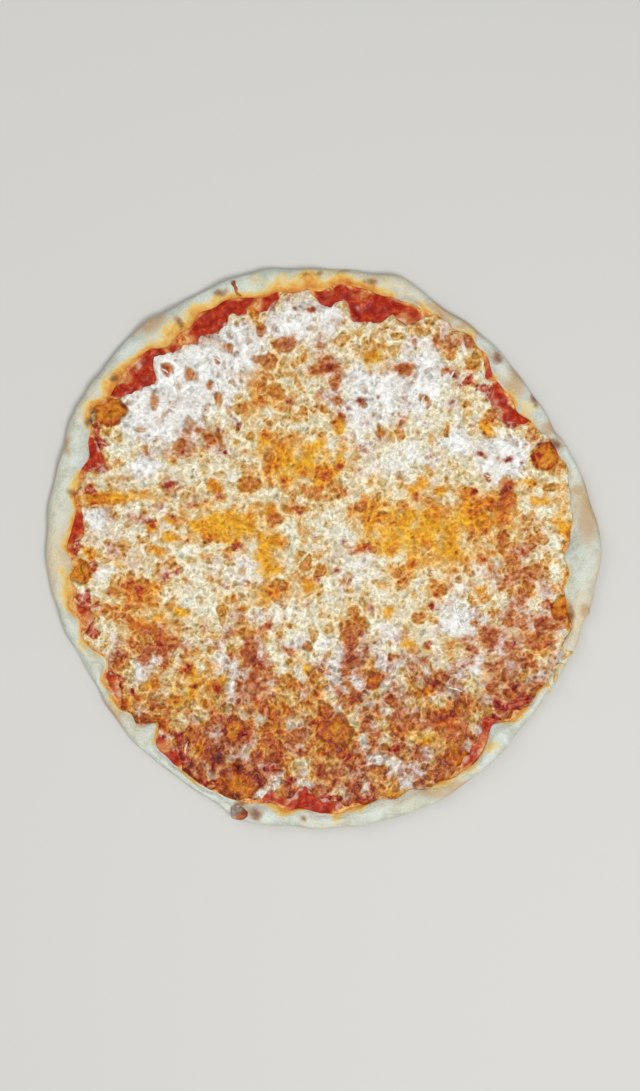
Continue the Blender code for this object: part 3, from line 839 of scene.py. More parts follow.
def cheese_finish():
    """Melted cheese: its colour runs from white curd through cream, gold and orange to brown
    as it is baked, with painted shade in the gaps between its lumps and painted highlights on
    its crests, sauce showing through in places, and washes of golden oil and rosy sauce over
    all of it."""
    cheese = Finish("melted_cheese")
    seen = cheese_patterns(cheese)
    baked = cheese.sum(seen.bake, (seen.mottle, 0.16), -0.09)
    curdy = cheese.sum(seen.curd, (seen.rosy, 0.7), (seen.mottle, 0.3), -0.15)
    curdy = cheese.step(curdy, 0.1, 0.8)
    colour = baked_colour(cheese, seen, baked, curdy)
    colour = shaded_colour(cheese, seen, colour, baked, curdy)
    gilt = cheese.step(cheese.sum(seen.gold, (seen.mottle, 0.3), -0.15), 0.0, 1.0)
    colour = cheese.blend(gilt, colour, GILT, "MULTIPLY")
    tinted = cheese.step(cheese.sum(seen.rosy, (seen.mottle, 0.4), -0.2), 0.0, 1.0)
    colour = cheese.blend(tinted, colour, ROSE, "MULTIPLY")
    cheese.wear(
        base_color=colour,
        roughness=cheese.step(baked, 0.2, 0.8, top=0.30, bottom=0.44),
        coat_weight=cheese.step(baked, 0.3, 0.8, top=0.22, bottom=0.06),
        coat_roughness=0.2,
        specular_ior_level=0.22,
    )
    relief = ((seen.mottle, 0.5), (seen.grain, 0.35), (seen.web, 0.16), (seen.lumps, 0.22))
    cheese.bump(cheese.sum(*relief), 0.0015)
    return cheese.material


# Tomato pulp, from thin and bright to thick and dark, and the milk that ran over it.
TOMATO = (
    (0.0, inks(206, 104, 50)),
    (0.3, inks(182, 56, 22)),
    (0.6, inks(158, 32, 8)),
    (1.0, inks(116, 10, 2)),
)
MILKED_SAUCE = inks(224, 184, 160)
# Melted cheese and hot fat along the sauce's edge, from pale to dark.
OILY_EDGE = (
    (0.0, inks(238, 204, 142)),
    (0.4, inks(224, 158, 84)),
    (0.8, inks(196, 104, 42)),
    (1.0, inks(156, 60, 24)),
)


def sauce_finish():
    """Tomato sauce: deep and bright red pulp, oily orange in places, wet all over."""
    sauce = Finish("tomato_sauce")
    pulp = sauce.speckle(0.0050, detail=4, roughness=0.6, distortion=0.6)
    grain = sauce.speckle(0.0012, detail=3, roughness=0.6)
    hollow, gold, narrow = sauce.tint("hollow"), sauce.tint("gold"), sauce.tint("narrow")
    # Darker in the hollows between lumps of pulp: painted shade.
    depth = sauce.sum((pulp, 1.9), (grain, 0.9), (hollow, 0.14), -0.90)
    red = sauce.ramp(depth, TOMATO)
    oily = sauce.sum(gold, narrow, (pulp, 1.1), (grain, 0.4), -0.75)
    fleck = sauce.speckle(0.0024, detail=3, roughness=0.6, distortion=0.8)
    fat = sauce.ramp(sauce.sum((pulp, 1.6), (fleck, 2.2), (grain, 0.5), -1.75), OILY_EDGE)
    colour = sauce.blend(sauce.step(oily, 0.15, 0.95, top=0.92), red, fat)
    milky = sauce.sum(sauce.tint("milky"), (pulp, 1.2), (grain, 0.5), -0.85)
    colour = sauce.blend(sauce.step(milky, 0.30, 0.90, top=0.7), colour, MILKED_SAUCE)
    sauce.wear(
        base_color=colour,
        roughness=sauce.step(pulp, 0.3, 0.7, top=0.30, bottom=0.40),
        coat_weight=0.05,
        coat_roughness=0.15,
        specular_ior_level=0.12,
    )
    sauce.bump(sauce.sum((pulp, 0.5), (grain, 0.5)), 0.0006)
    return sauce.material


# The rim from clean dough to where sauce and hot oil soaked its inner edge.
SOAKED_DOUGH = (
    (0.00, inks(230, 224, 194)),
    (0.25, inks(236, 214, 148)),
    (0.50, inks(238, 194, 104)),
    (0.75, inks(230, 158, 72)),
    (1.00, inks(208, 120, 50)),
)
# Where it scorched, from the soft tan edge of a spot to its middle.
SCORCHED = (
    (0.0, inks(212, 174, 112)),
    (0.5, inks(176, 118, 62)),
    (1.0, inks(122, 70, 36)),
)
# Clean dough, from thickly floured to bare, where its crumb is warmer, and where it browned.
FLOURY_DOUGH = (inks(200, 204, 188), inks(220, 227, 217))
WARM_DOUGH = inks(222, 204, 170)
TANNED_DOUGH = inks(196, 156, 106)
# The underside, pale and toasted, and its darkest spots.
BAKED_BASE = (inks(226, 208, 172), inks(198, 154, 98))
BASE_SPOTS = inks(118, 72, 38)


def dough_finish():
    """Baked dough: floury white with a greenish cast, tan where it browned, golden with
    grease along the toppings, and speckled brown underneath."""
    dough = Finish("baked_dough")
    cloud = dough.speckle(0.0120, detail=3)
    mottle = dough.speckle(0.0040, detail=4, roughness=0.6, distortion=0.4)
    grain = dough.speckle(0.0011, detail=3, roughness=0.65)
    tan, soak, warm = dough.tint("tan"), dough.tint("soak"), dough.tint("warm")
    burnt, under = dough.tint("burnt"), dough.tint("under")
    flour = dough.blend(dough.step(cloud, 0.34, 0.66), *FLOURY_DOUGH)
    warmth = dough.sum(warm, (mottle, 0.9), (grain, 0.3), -0.6)
    flour = dough.blend(dough.step(warmth, 0.0, 1.0), flour, WARM_DOUGH)
    dust = dough.step(dough.sum((grain, 1.2), (mottle, 0.6)), 0.6, 1.2, top=1.13, bottom=0.87)
    flour = dough.blend(1.0, flour, dust, "MULTIPLY")
    browning = dough.sum(tan, (mottle, 1.0), (cloud, 1.0), (grain, 0.4), -1.25)
    colour = dough.blend(dough.step(browning, 0.0, 1.3, top=0.80), flour, TANNED_DOUGH)
    blotch = dough.speckle(0.0070, detail=3, roughness=0.6, distortion=0.8)
    soaked = dough.sum(soak, (mottle, 0.7), (blotch, 0.7), (grain, 0.3), -0.85)
    colour = dough.blend(dough.step(soaked, 0.0, 0.50), colour, dough.ramp(soaked, SOAKED_DOUGH))
    charred = dough.sum(burnt, (mottle, 0.9), (grain, 0.3), -0.6)
    scorch = dough.ramp(charred, SCORCHED)
    colour = dough.blend(dough.step(charred, 0.05, 1.0, top=0.85), colour, scorch)
    base = dough.blend(dough.step(cloud, 0.42, 0.6), *BAKED_BASE)
    spots = dough.sum(mottle, (cloud, 0.7))
    base = dough.blend(dough.step(spots, 0.98, 1.12, top=0.85), base, BASE_SPOTS)
    dough.wear(
        base_color=dough.blend(under, colour, base),
        roughness=dough.step(soak, 0, 1, top=0.45, bottom=0.8),
        specular_ior_level=0.2,
    )
    dough.bump(dough.sum((mottle, 0.6), (grain, 0.5), (blotch, 0.6)), 0.0014)
    return dough.material


# ---- The toppings' maps ---------------------------------------------------------------

# Uneven cloudiness that all the maps share, from broad to fine, by the size of its lumps.
CLOUD = map_waves(0.0060, seed=11)
CLUMP = map_waves(0.0030, seed=12)
PATCH = map_waves(0.0015, seed=13)
FLECK = map_waves(0.0009, seed=14)


def ragged(share, keen=0.25):
    """A soft map with its edges broken up by the cloudiness, and steeper."""
    broken = share + keen * (0.5 * CLUMP + 0.6 * PATCH + 0.5 * FLECK)
    return smooth(broken, 0.30, 0.75)


def strewn_ovals(tries, sizes, kept_by, seed):
    """Seeded small ovals in the photo's pixels, kept by chance where a map is high."""
    draw = np.random.default_rng(seed)
    x, y = draw.uniform(-MAP_REACH, MAP_REACH, (2, tries))
    kept = draw.uniform(0, 1, tries) < sample(kept_by, x, y)
    wide = draw.uniform(*sizes, tries)
    high = wide * draw.uniform(0.65, 1.5, tries)
    return np.stack((*spot_pixel(x, y), wide, high), axis=-1)[kept]


def shred_draws(tries, kept_by, seed, ranges=SHRED_RANGES):
    """Seeded shreds strewn evenly over the cheese, kept by chance where a map is high.

    Each is a row: x, y, heading, length, width, bend, and a share from 0 to 1 by which it
    lies low or high in the pile. The rows run from the lowest to the highest.
    """
    draw = np.random.default_rng(seed)
    angle, out = draw.uniform(0, 360, tries), np.sqrt(draw.uniform(0, 1, tries))
    x, y = spot_at(angle, out * (cheese_radius(angle) - SHRED_INSIDE))
    kept = draw.uniform(0, 1, tries) < sample(kept_by, x, y)
    rest = [draw.uniform(low, high, tries) for low, high in ranges]
    rows = np.stack((x, y, *rest), axis=-1)[kept]
    return np.column_stack((rows, np.linspace(0, 1, len(rows))))


def shred_lines(draws, stations):
    """Points along every shred's middle: a shallow arc through its place, at its heading."""
    x, y, heading, length, _, bend, _ = draws.T[:, :, None]
    along = np.linspace(-1, 1, stations) * length / 2
    aside = bend * length * ((2 * along / length) ** 2 - 0.33) / 2
    return laid_out(x, y, heading, along, aside)


def strewn_threads(draws):
    """A map of thin lines: 1 along the middle of each, rounding off to both ends."""
    stations = 30
    x, y = shred_lines(draws, stations)
    shine = np.broadcast_to(np.sqrt(1 - np.linspace(-0.9, 0.9, stations) ** 2), x.shape)
    total = np.zeros_like(MAP_X)
    for step in (-0.3, 0.3):
        aside = draws[:, 4, None] * step
        np.maximum.at(total, cell_at(*laid_out(x, y, draws[:, 2, None], 0, aside)), shine)
    return np.clip(1.5 * blur(total, 0.6), 0, 1)


def patchwork_ovals(count, widths, seed):
    """Ovals that cover the whole pizza, spread by the golden angle and moved about a little."""
    draw = np.random.default_rng(seed)
    number = np.arange(count)
    x, y = spot_at(number * GOLDEN_ANGLE, CRUST_RADIUS * np.sqrt(number / count))
    middles = np.array(spot_pixel(x, y)) + draw.normal(0, 0.2 * widths[0], (2, count))
    return np.stack((*middles, *draw.uniform(*widths, (2, count))), axis=-1)


def topping_paint():
    """The stretches that the photo shows, as maps from 0 to 1, with two sums of them: how
    broken up by brown the sheet is, and where, with the cloudiness, it browned in spots."""
    pools = np.maximum(1.1 * painted(GOLDEN_POOLS, 0.9), 0.62 * painted(GILDED_STRETCHES, 0.9))
    oily = np.clip(pools + 0.18 * CLUMP + 0.08 * PATCH, 0, 1)
    paint = SimpleNamespace(
        white=ragged(painted(WHITE_DRIFTS, 0.8)),
        milky=ragged(painted(MILKY_DRIFTS, 0.95), 0.35),
        cream=painted(CREAM_DRIFTS, 0.7),
        thin=painted(THIN_STRETCHES, 0.9),
        amber=painted(AMBER_STRETCHES, 0.9),
        gold=oily * smooth(blur(pools, 4), 0.02, 0.25),
        red=ragged(painted(RED_POOLS, 0.6), 0.3),
        burnt=painted(BURNT_SPOTS, 0.8),
        near=smooth(MAP_Y, -0.03, -0.15),
    )
    paint.broken = 0.55 * paint.amber + 0.75 * paint.thin + 0.5 * paint.near
    paint.broken -= 0.7 * paint.white + 0.2 * paint.cream
    paint.browned = 0.5 * CLUMP + 0.7 * PATCH + 0.5 * FLECK + 0.6 * paint.broken
    return paint


def melted_lumps(paint):
    """Lumps that melted against each other, each with its own tone and kind, paler on the
    seams between them; larger clots with dark gaps, where the sheet is thin or near; and the
    fine threads that ran out of the shreds. A kind is one more number of a lump's own, from
    0 to 1, worked out from its tone."""
    _, apart, tone = spot_field(patchwork_ovals(PATCHWORK, PATCH_WIDTHS, seed=15), seed=14)
    _, gap, clot = spot_field(patchwork_ovals(CLOTS, CLOT_WIDTHS, seed=13), seed=20)
    clotted = smooth(1.1 * paint.near + 0.5 * paint.thin + 0.15 * CLOUD, 0.1, 1.0)
    clotted = clotted * (1 - paint.white)
    chance = 0.55 + 0.4 * paint.near + 0.2 * paint.thin
    return SimpleNamespace(
        tone=tone,
        kind=7.3 * tone % 1,
        seam=1 - smooth(apart, 0.03, 0.22),
        clot=clot,
        clot_kind=5.7 * clot % 1,
        clotted=clotted,
        gap=clotted * (1 - smooth(gap, 0.02, 0.22)) * smooth(PATCH + CLUMP, -0.6, 1.2),
        threads=strewn_threads(shred_draws(THREADS, chance, seed=23, ranges=THREAD_RANGES)),
    )


def browned_spots(paint):
    """Small round cells, toasted spots and wide glossy blisters: how far out each place lies
    in the nearest one, 1 on its outline, and how much it belongs to one, from 0 to 1. Last,
    how open the sheet lies between them."""
    chance = 0.36 + 0.3 * paint.broken - 0.15 * paint.gold - 0.14 * paint.cream
    ovals = strewn_ovals(STREWN_CELLS, CELL_WIDTHS, chance + 0.10 * paint.white, seed=16)
    cells, _, cell_tone = spot_field(ovals, seed=17)
    spots, _, spot_tone = spot_field(TOASTED_SPOTS, seed=18)
    blots, _, _ = spot_field(WIDE_BLISTERS)
    worn = paint.white * smooth(PATCH + FLECK, -0.4, 1.2)
    toast = (1 - smooth(spots + 0.08 * FLECK, 0.6, 1.3)) * (1 - 0.35 * worn)
    blot = 1 - smooth(blots + 0.05 * FLECK, 0.85, 1.15)
    return SimpleNamespace(
        cells=cells,
        cell_tone=cell_tone,
        in_cell=1 - smooth(cells, 0.5, 1.3),
        spots=spots,
        spot_tone=spot_tone,
        toast=toast,
        blots=blots,
        blot=blot,
        open_sheet=(1 - np.maximum(blot, 0.5 * toast)) * (1 - 0.6 * paint.white),
    )


def bake_map(paint, lumps, browned):
    """How baked each spot is, from 0, white curd, to 1, dark crust: a start that is lighter
    on white and darker on amber stretches, plus cloudiness and each lump's own tone, then
    drawn towards the bake of the pool, cell, spot or blister it lies in, with a halo round."""
    dark = smooth(lumps.tone + 0.10 * PATCH + 0.28 * paint.broken, 0.62, 1.0)
    bake = 0.312 - 0.03 * paint.cream + 0.05 * paint.amber + 0.04 * paint.thin
    bake += 0.12 * paint.near - 0.13 * paint.white + 0.05 * paint.white * CLUMP
    bake -= 0.10 * paint.milky * (1 - paint.white)
    bake += 0.035 * CLOUD + 0.05 * CLUMP + 0.04 * PATCH + 0.10 * (lumps.tone - 0.5)
    bake += 0.20 * dark * (1 - 0.5 * paint.white) - 0.05 * lumps.seam
    bake += 0.20 * lumps.clotted * (lumps.clot - 0.35) + 0.14 * lumps.gap
    bake += 0.16 * smooth(paint.browned, 0.4, 2.2)
    bake += (0.40 + 0.05 * PATCH + 0.04 * CLUMP - bake) * 0.6 * paint.gold
    bake += (0.44 + 0.24 * browned.cell_tone - bake) * 0.7 * browned.in_cell
    toasted = 0.60 + 0.20 * browned.spot_tone + 0.12 * paint.white
    bake += (toasted - bake) * 0.9 * browned.toast
    blistered = 0.55 + 0.05 * PATCH + 0.20 * ring_round(browned.blots, 0.95, 0.2)
    bake += (blistered - bake) * 0.95 * browned.blot
    marked = np.maximum(browned.toast, browned.blot)
    halo = blur(np.maximum(marked, 0.7 * browned.in_cell), HALO / CELL)
    halo *= (1 - 0.6 * paint.white) * (1 - 0.5 * paint.cream) * (1 - marked)
    return bake + 0.20 * halo - 0.07 * lumps.threads * browned.open_sheet


def shade_map(paint, lumps, browned, bake, pits):
    """How much darker each spot is than what lies round it, below 0 where it is paler: the bake
    less its own blur and darker towards the near side, painted shade in pits, gaps and folds
    of white curd, painted highlights on seams and threads, and darker just inside the outline
    of a brown spot and paler just outside it."""
    deep = 1.25 * (bake - blur(bake, BLEED / CELL)) + 0.2 * (0.5 - lumps.kind)
    # Darker towards the near side.
    deep += 0.32 * smooth(MAP_Y, -0.04, -0.12)
    # Painted shade in the folds of white curd.
    folds = smooth(map_waves(0.0016, seed=25), 0.3, 1.8)
    deep += paint.white * (0.5 * folds + 0.12 * CLUMP)
    # Painted shade in pits and painted highlights on seams and threads, where the sheet lies open.
    deep += browned.open_sheet * (0.25 * pits - 0.20 * lumps.seam - 0.45 * lumps.threads)
    deep += 0.28 * ring_round(browned.cells, 0.95, 0.25)
    deep -= 0.22 * ring_round(browned.cells, 1.5, 0.25)
    ring = 0.32 * ring_round(browned.spots, 0.98, 0.2)
    ring -= 0.28 * ring_round(browned.spots, 1.4, 0.2)
    deep += ring * (1 - 0.4 * paint.white)
    deep += 0.65 * ring_round(browned.blots, 0.98, 0.12)
    # Painted shade in the gaps between clots.
    return deep + 0.30 * lumps.gap * (1 - browned.blot)


def marks_relief(paint, lumps, browned, pits):
    """The relief of what the maps show, in metres: sunken pits, gaps and browned places, and
    raised seams, threads, rims round the spots, domed spots and curd."""
    relief = -0.00030 * pits - 0.00020 * smooth(paint.browned, 0.5, 1.9)
    rims = ring_round(browned.spots, 1.35, 0.3) + ring_round(browned.cells, 1.45, 0.3)
    relief += 0.00025 * rims
    relief += 0.00030 * browned.toast * (1 - browned.spots**2) + 0.00015 * browned.in_cell
    relief += 0.00022 * lumps.seam - 0.00040 * lumps.gap
    relief += 0.00020 * lumps.threads * (1 - 0.7 * paint.white)
    return relief + 0.00030 * paint.white * smooth(map_waves(0.0020, seed=24), -1.2, 0.8)


def topping_maps():
    """What the toppings are like at each spot. From 0 to 1: how baked, curdy, rosy with sauce,
    golden with oil, bare and red, burnt, and glazed it is, all bled a little. Then how much
    darker than its surroundings it is, partly as painted shade and highlight, its relief in
    metres, and the drifts of white."""
    paint = topping_paint()
    lumps = melted_lumps(paint)
    browned = browned_spots(paint)
    pits = smooth(map_waves(0.0009, seed=19), 1.2, 2.4)
    bake = bake_map(paint, lumps, browned)
    curd = 0.5 * smooth(lumps.kind, 0.5, 0.9) * (0.3 + 0.7 * paint.near) * (1 - paint.gold)
    curd += 0.4 * paint.milky + blur(paint.white, 0.0016 / CELL)
    curd += 0.8 * lumps.clotted * smooth(lumps.clot_kind, 0.5, 0.7)
    rosy = 0.05 + 0.35 * paint.thin + 0.35 * paint.near + 0.16 * CLUMP
    rosy += 0.30 * (lumps.kind - 0.4) + 0.3 * lumps.gap - 0.5 * paint.gold - 0.4 * paint.red
    oily = 0.6 * lumps.clotted * (1 - smooth(lumps.clot_kind, 0.2, 0.4))
    stained = 0.7 * PATCH + 0.6 * CLUMP + 1.2 * paint.thin + 1.6 * lumps.gap
    maps = {
        "bake": bake,
        "curd": curd * (1 - browned.blot),
        "rosy": rosy * (1 - browned.blot) * (1 - 0.8 * paint.white),
        "gold": np.maximum(np.maximum(paint.gold, oily), 0.85 * browned.blot),
        "red": np.maximum(paint.red, 0.8 * smooth(stained, 2.7, 3.9)),
        "burnt": paint.burnt,
        "glaze": browned.blot,
    }
    maps = {name: blur(np.clip(field, 0, 1), BLEED / CELL) for name, field in maps.items()}
    return maps | {
        "deep": shade_map(paint, lumps, browned, bake, pits),
        "relief": marks_relief(paint, lumps, browned, pits),
        "drift": paint.white,
    }


MAPS = topping_maps()


def bubble_places():
    """Where, how far out, how wide and how high: the bubbles at the rim, then the blisters."""
    where, distance, radius, height = np.array(BUBBLES).T
    around = where + np.degrees(radius / distance) * np.linspace(-1, 1, 9)[:, None]
    distance = np.minimum(distance, cheese_radius(around).min(axis=0) - radius)
    count = np.arange(BLISTERS)
    turned = count * GOLDEN_ANGLE % 360
    spread = BLISTER_REACH * cheese_radius(turned) * np.sqrt((count + 0.5) / BLISTERS)
    size = np.array(BLISTER_SIZES)[count % len(BLISTER_SIZES)]
    return np.concatenate(
        (
            np.stack((where, distance, radius, height), axis=-1),
            np.stack((turned, spread, size * BLISTER_RADIUS, size * BLISTER_HEIGHT), axis=-1),
        )
    )


def bubble_map():
    """The height of the domes above the underside: half balls on uneven outlines."""
    total = np.zeros_like(MAP_X)
    for where, distance, radius, height in bubble_places():
        x, y = spot_at(where, distance)
        away = np.hypot(WOBBLE_X - x, WOBBLE_Y - y) / radius
        dome = DOME_LEVEL + height * np.sqrt(np.clip(1 - away**2, 0, 1))
        total = np.maximum(total, np.where(away < 1, dome, 0))
    return total


def strewn_relief(draws, seed):
    """Two maps of a pile of shreds: its height, where each shred is a long low mound raised
    by its share of the pile, and a tone from -1 to 1 that the topmost shred gives."""
    stations, sides = 26, 9
    x, y = shred_lines(draws, stations)
    across = np.linspace(-1, 1, sides)
    heading, width, lift = draws[:, 2, None, None], draws[:, 4, None, None], draws[:, 6]
    x = x[..., None] - np.sin(heading) * width / 2 * across
    y = y[..., None] + np.cos(heading) * width / 2 * across
    taper = np.sqrt(1 - np.linspace(-0.98, 0.98, stations) ** 2)[:, None]
    mound = SHRED_HIGH * taper * np.sqrt(np.maximum(1 - across**2, 0))
    height = SHRED_PILE * lift[:, None, None] + mound
    cells = cell_at(x, y)
    total, tone = np.zeros_like(MAP_X), np.zeros_like(MAP_X)
    np.maximum.at(total, cells, height)
    shades = np.random.default_rng(seed).uniform(-1, 1, len(draws))
    tone[cells] = np.broadcast_to(shades[:, None, None], x.shape)
    return total, tone


# How far the relief may sink into the cheese and rise above it.
RELIEF_RANGE = (-0.0011, 0.0018)


def cheese_relief():
    """Two maps: the cheese's relief, from shreds that ran into each other, cloudiness and the
    marks, softened most where it is white, and the shreds' own tones."""
    draws = shred_draws(MELTED_SHREDS, np.ones_like(MAP_X), seed=21)
    pile, tone = strewn_relief(draws, seed=22)
    whole = MAPS["drift"]
    melted = blur(pile, 0.0008 / CELL) * (1 - whole) + blur(pile, 0.0011 / CELL) * whole
    relief = melted - melted.mean()
    relief += 0.00030 * CLOUD + 0.00022 * CLUMP + 0.00012 * PATCH
    relief += 0.00008 * map_waves(0.0006, seed=33)
    relief += MAPS["relief"] - 0.0005 * np.clip(MAPS["red"], 0, 1)
    return np.clip(relief, *RELIEF_RANGE), blur(tone, 0.0003 / CELL)


RELIEF, TONE = cheese_relief()
BUBBLE_TOPS = bubble_map()
# How far each spot of the cheese lies below what surrounds it, by which its points carry painted
# shade.
HOLLOW = np.clip((blur(RELIEF, 0.0019 / CELL) - RELIEF) / 0.00030, -1.5, 1.5)


def cheese_top(x, y):
    """The height of the cheese's top: its relief, rounded down to the thin edge by a quarter
    circle, or a bubble's dome where that is higher."""
    angle, out = polar_of(x, y)
    to_edge = np.maximum(ragged_radius(angle) - out, 0)
    roll = np.minimum(to_edge / CHEESE_ROLL, 1)
    rounded = np.sqrt(1 - (1 - roll) ** 2)
    thick = CHEESE_THICK - CHEESE_EDGE + sample(RELIEF, x, y)
    sheet = CHEESE_UNDER + CHEESE_EDGE + thick * rounded
    dome = np.minimum(sample(BUBBLE_TOPS, x, y), sheet + to_edge * 4)
    return np.maximum(sheet, dome + 0.3 * sample(RELIEF, x, y) * (dome > CHEESE_UNDER))


def topping_tints(x, y, crest=0.0):
    """What a topping's points carry: the maps' values at their place, with painted shade added
    where the cheese lies in a hollow, less baked and with less painted shade where a shred's
    crest, from 0 to 1, stands up."""
    tints = {name: sample(MAPS[name], x, y) for name in PLAIN_TINTS}
    hollow, tone = sample(HOLLOW, x, y), sample(TONE, x, y)
    tints["bake"] = sample(MAPS["bake"], x, y) * (1 - 0.5 * crest) - 0.012 * tone
    # Painted shade in the cheese's hollows.
    tints["deep"] = (sample(MAPS["deep"], x, y) + 0.3 * hollow) * (1 - crest)
    return tints


# ---- The pieces -----------------------------------------------------------------------


def disc_from_square(count):
    """Angle and reach of a square grid's points in a disc: square rings become circles."""
    line = np.linspace(-1, 1, count)
    across, along = np.meshgrid(line, line)
    reach = np.maximum(abs(across), abs(along))
    flat = abs(across) >= abs(along)
    longer = np.where(flat, across, along)
    shorter = np.where(flat, along, -across)
    slant = np.divide(shorter, longer, out=np.zeros_like(reach), where=longer != 0)
    start = np.where(flat, np.where(across > 0, 0, 180), np.where(along > 0, 90, 270))
    return (start + 45 * slant) % 360, reach


def square_border(count):
    """The numbers of a square grid's border points, in turn round it."""
    ring = np.arange(count * count).reshape(count, count)
    return np.concatenate((ring[0, :-1], ring[:-1, -1], ring[-1, :0:-1], ring[:0:-1, 0]))


def grid_normals(points):
    """The way each point of a grid faces: across the lines that run through it both ways."""
    facing = np.cross(np.gradient(points, axis=1), np.gradient(points, axis=0))
    return facing / np.linalg.norm(facing, axis=-1, keepdims=True)


def cheese_quarter(name, top, facing, finish):
    """A quarter of the sheet: its square of the grid, a wall down from its border, and a flat
    underside. Its points keep the whole sheet's facing, so that no seam shows."""
    count = len(top)
    top, facing = top.reshape(-1, 3), facing.reshape(-1, 3)
    ring = np.arange(count * count).reshape(count, count)
    faces = quad_halves(ring[:-1, :-1], ring[:-1, 1:], ring[1:, 1:], ring[1:, :-1])
    border = square_border(count)
    foot = top[border] * (1, 1, 0) + (0, 0, CHEESE_UNDER)
    low = len(top) + np.arange(len(border))
    wall = quad_halves(border, low, np.roll(low, -1), np.roll(border, -1))
    middle = np.full(len(low), len(top) + len(low))
    under = np.stack((middle, np.roll(low, -1), low), axis=-1)
    points = np.concatenate((top, foot, foot.mean(axis=0, keepdims=True)))
    outward = facing[border] * (1, 1, 0.2)
    facing = np.concatenate((facing, outward, [(0, 0, -1)]))
    faces = np.concatenate((faces, wall, under))
    tints = topping_tints(points[:, 0], points[:, 1])
    piece = new_piece(name, points, faces, tints, finish, "cheese")
    piece.data.normals_split_custom_set_from_vertices(facing.tolist())


def cheese_sheet(finish):
    """The sheet of melted cheese: a square grid bent into the ragged disc and raised to the
    cheese's top, then parted into quarters."""
    angle, reach = disc_from_square(2 * QUARTER_LINES + 1)
    x, y = spot_at(angle, reach * ragged_radius(angle))
    top = np.stack((x, y, cheese_top(x, y)), axis=-1)
    facing = grid_normals(top)
    near, far = slice(0, QUARTER_LINES + 1), slice(QUARTER_LINES, None)
    quarters = {
        "far_right": (far, far),
        "far_left": (far, near),
        "near_left": (near, near),
        "near_right": (near, far),
    }
    for name, part in quarters.items():
        cheese_quarter(f"cheese_{name}", top[part], facing[part], finish)


def whole_shreds(draws, finish):
    """The shreds that kept their shape, in one piece: an oval profile carried along each one's
    arc, thinning to both ends, with its lower half shallow and sunk in the cheese's top."""
    stations, sides = SHRED_STATIONS, SHRED_SIDES
    x, y = shred_lines(draws, stations)
    heading, width, lift = draws[:, 2, None], draws[:, 4, None], draws[:, 6, None]
    along = np.linspace(-0.94, 0.94, stations)
    thin = np.sqrt(1 - along**2) ** 0.7 * (1 + 0.16 * np.sin(7 * along + 40 * lift))
    half = 0.50 * width * thin
    around = 2 * np.pi * np.arange(sides) / sides
    out = -np.cos(around)
    up = np.where(np.sin(around) > 0, np.sin(around), 0.5 * np.sin(around))
    angle, distance = polar_of(x, y)
    over_sauce = distance > ragged_radius(angle)
    base = np.where(over_sauce, SAUCE_LEVEL + SHRED_REST, cheese_top(x, y))
    points = np.stack(
        (
            x[..., None] - np.sin(heading)[..., None] * half[..., None] * out,
            y[..., None] + np.cos(heading)[..., None] * half[..., None] * out,
            base[..., None] + SHRED_HIGH * thin[..., None] * up,
        ),
        axis=-1,
    )
    spots, faces = closed_skin(points)
    crests = np.broadcast_to(np.maximum(up, 0), points.shape[:3]).reshape(len(draws), -1)
    crests = np.concatenate((crests, np.zeros((len(draws), 2))), axis=1).ravel()
    tints = topping_tints(spots[:, 0], spots[:, 1], crests)
    for tint in ("rosy", "red", "burnt"):
        tints[tint] = tints[tint] * (1 - 0.8 * crests)
    return new_piece("whole_shreds", spots, faces, tints, finish)


# The sauce's mesh: points round it, rings across it, and how far it starts under the cheese.
SAUCE_STEPS = 1200
SAUCE_RINGS = 22
SAUCE_MARGIN = 0.0030
# Its lumps of pulp: (how high, how wide, their seed), and how far they may sink and rise from
# their own level above the sauce's.
PULP_LUMPS = ((0.00030, 0.0016, 41), (0.00022, 0.0040, 42))
PULP_RANGE = (-0.0006, 0.0009)
PULP_LEVEL = 0.0005


def sauce_tints(x, y, lumps):
    """What the sauce's points carry: hollows between the lumps of pulp, where its colour is
    darker as painted shade, milk that ran over it beside the cheese, and golden fat where the
    band is narrow or at the rim."""
    hollow = np.clip((blur(lumps, 0.003 / CELL) - lumps) / 0.0003, -1, 1)
    where, out = polar_of(x, y)
    room, left = topping_radius(where) - ragged_radius(where), topping_radius(where) - out
    narrow = 0.95 * (1 - smooth(room, 0.0028, 0.0062)) - 0.8 * sample(MAPS["red"], x, y)
    patchy = sample(smooth(CLOUD + 0.5 * CLUMP, -0.8, 1.2), x, y)
    narrow = np.maximum(narrow, 0.9 * patchy * (1 - smooth(left, 0.0004, 0.0030)))
    smeared = 0.55 * sample(smooth(CLOUD + 0.5 * CLUMP, 0.6, 1.8), x, y)
    beside = 1 - smooth(out - ragged_radius(where), 0.0005, 0.0050)
    open_band = smooth(room, 0.0030, 0.0080)
    return {
        "hollow": sample(hollow, x, y),
        "milky": (0.42 * beside + 0.24 * sample(PATCH + 0.6 * CLUMP, x, y)) * open_band,
        "gold": sample(MAPS["gold"], x, y) + smeared,
        "narrow": np.clip(narrow, 0, 1),
    }


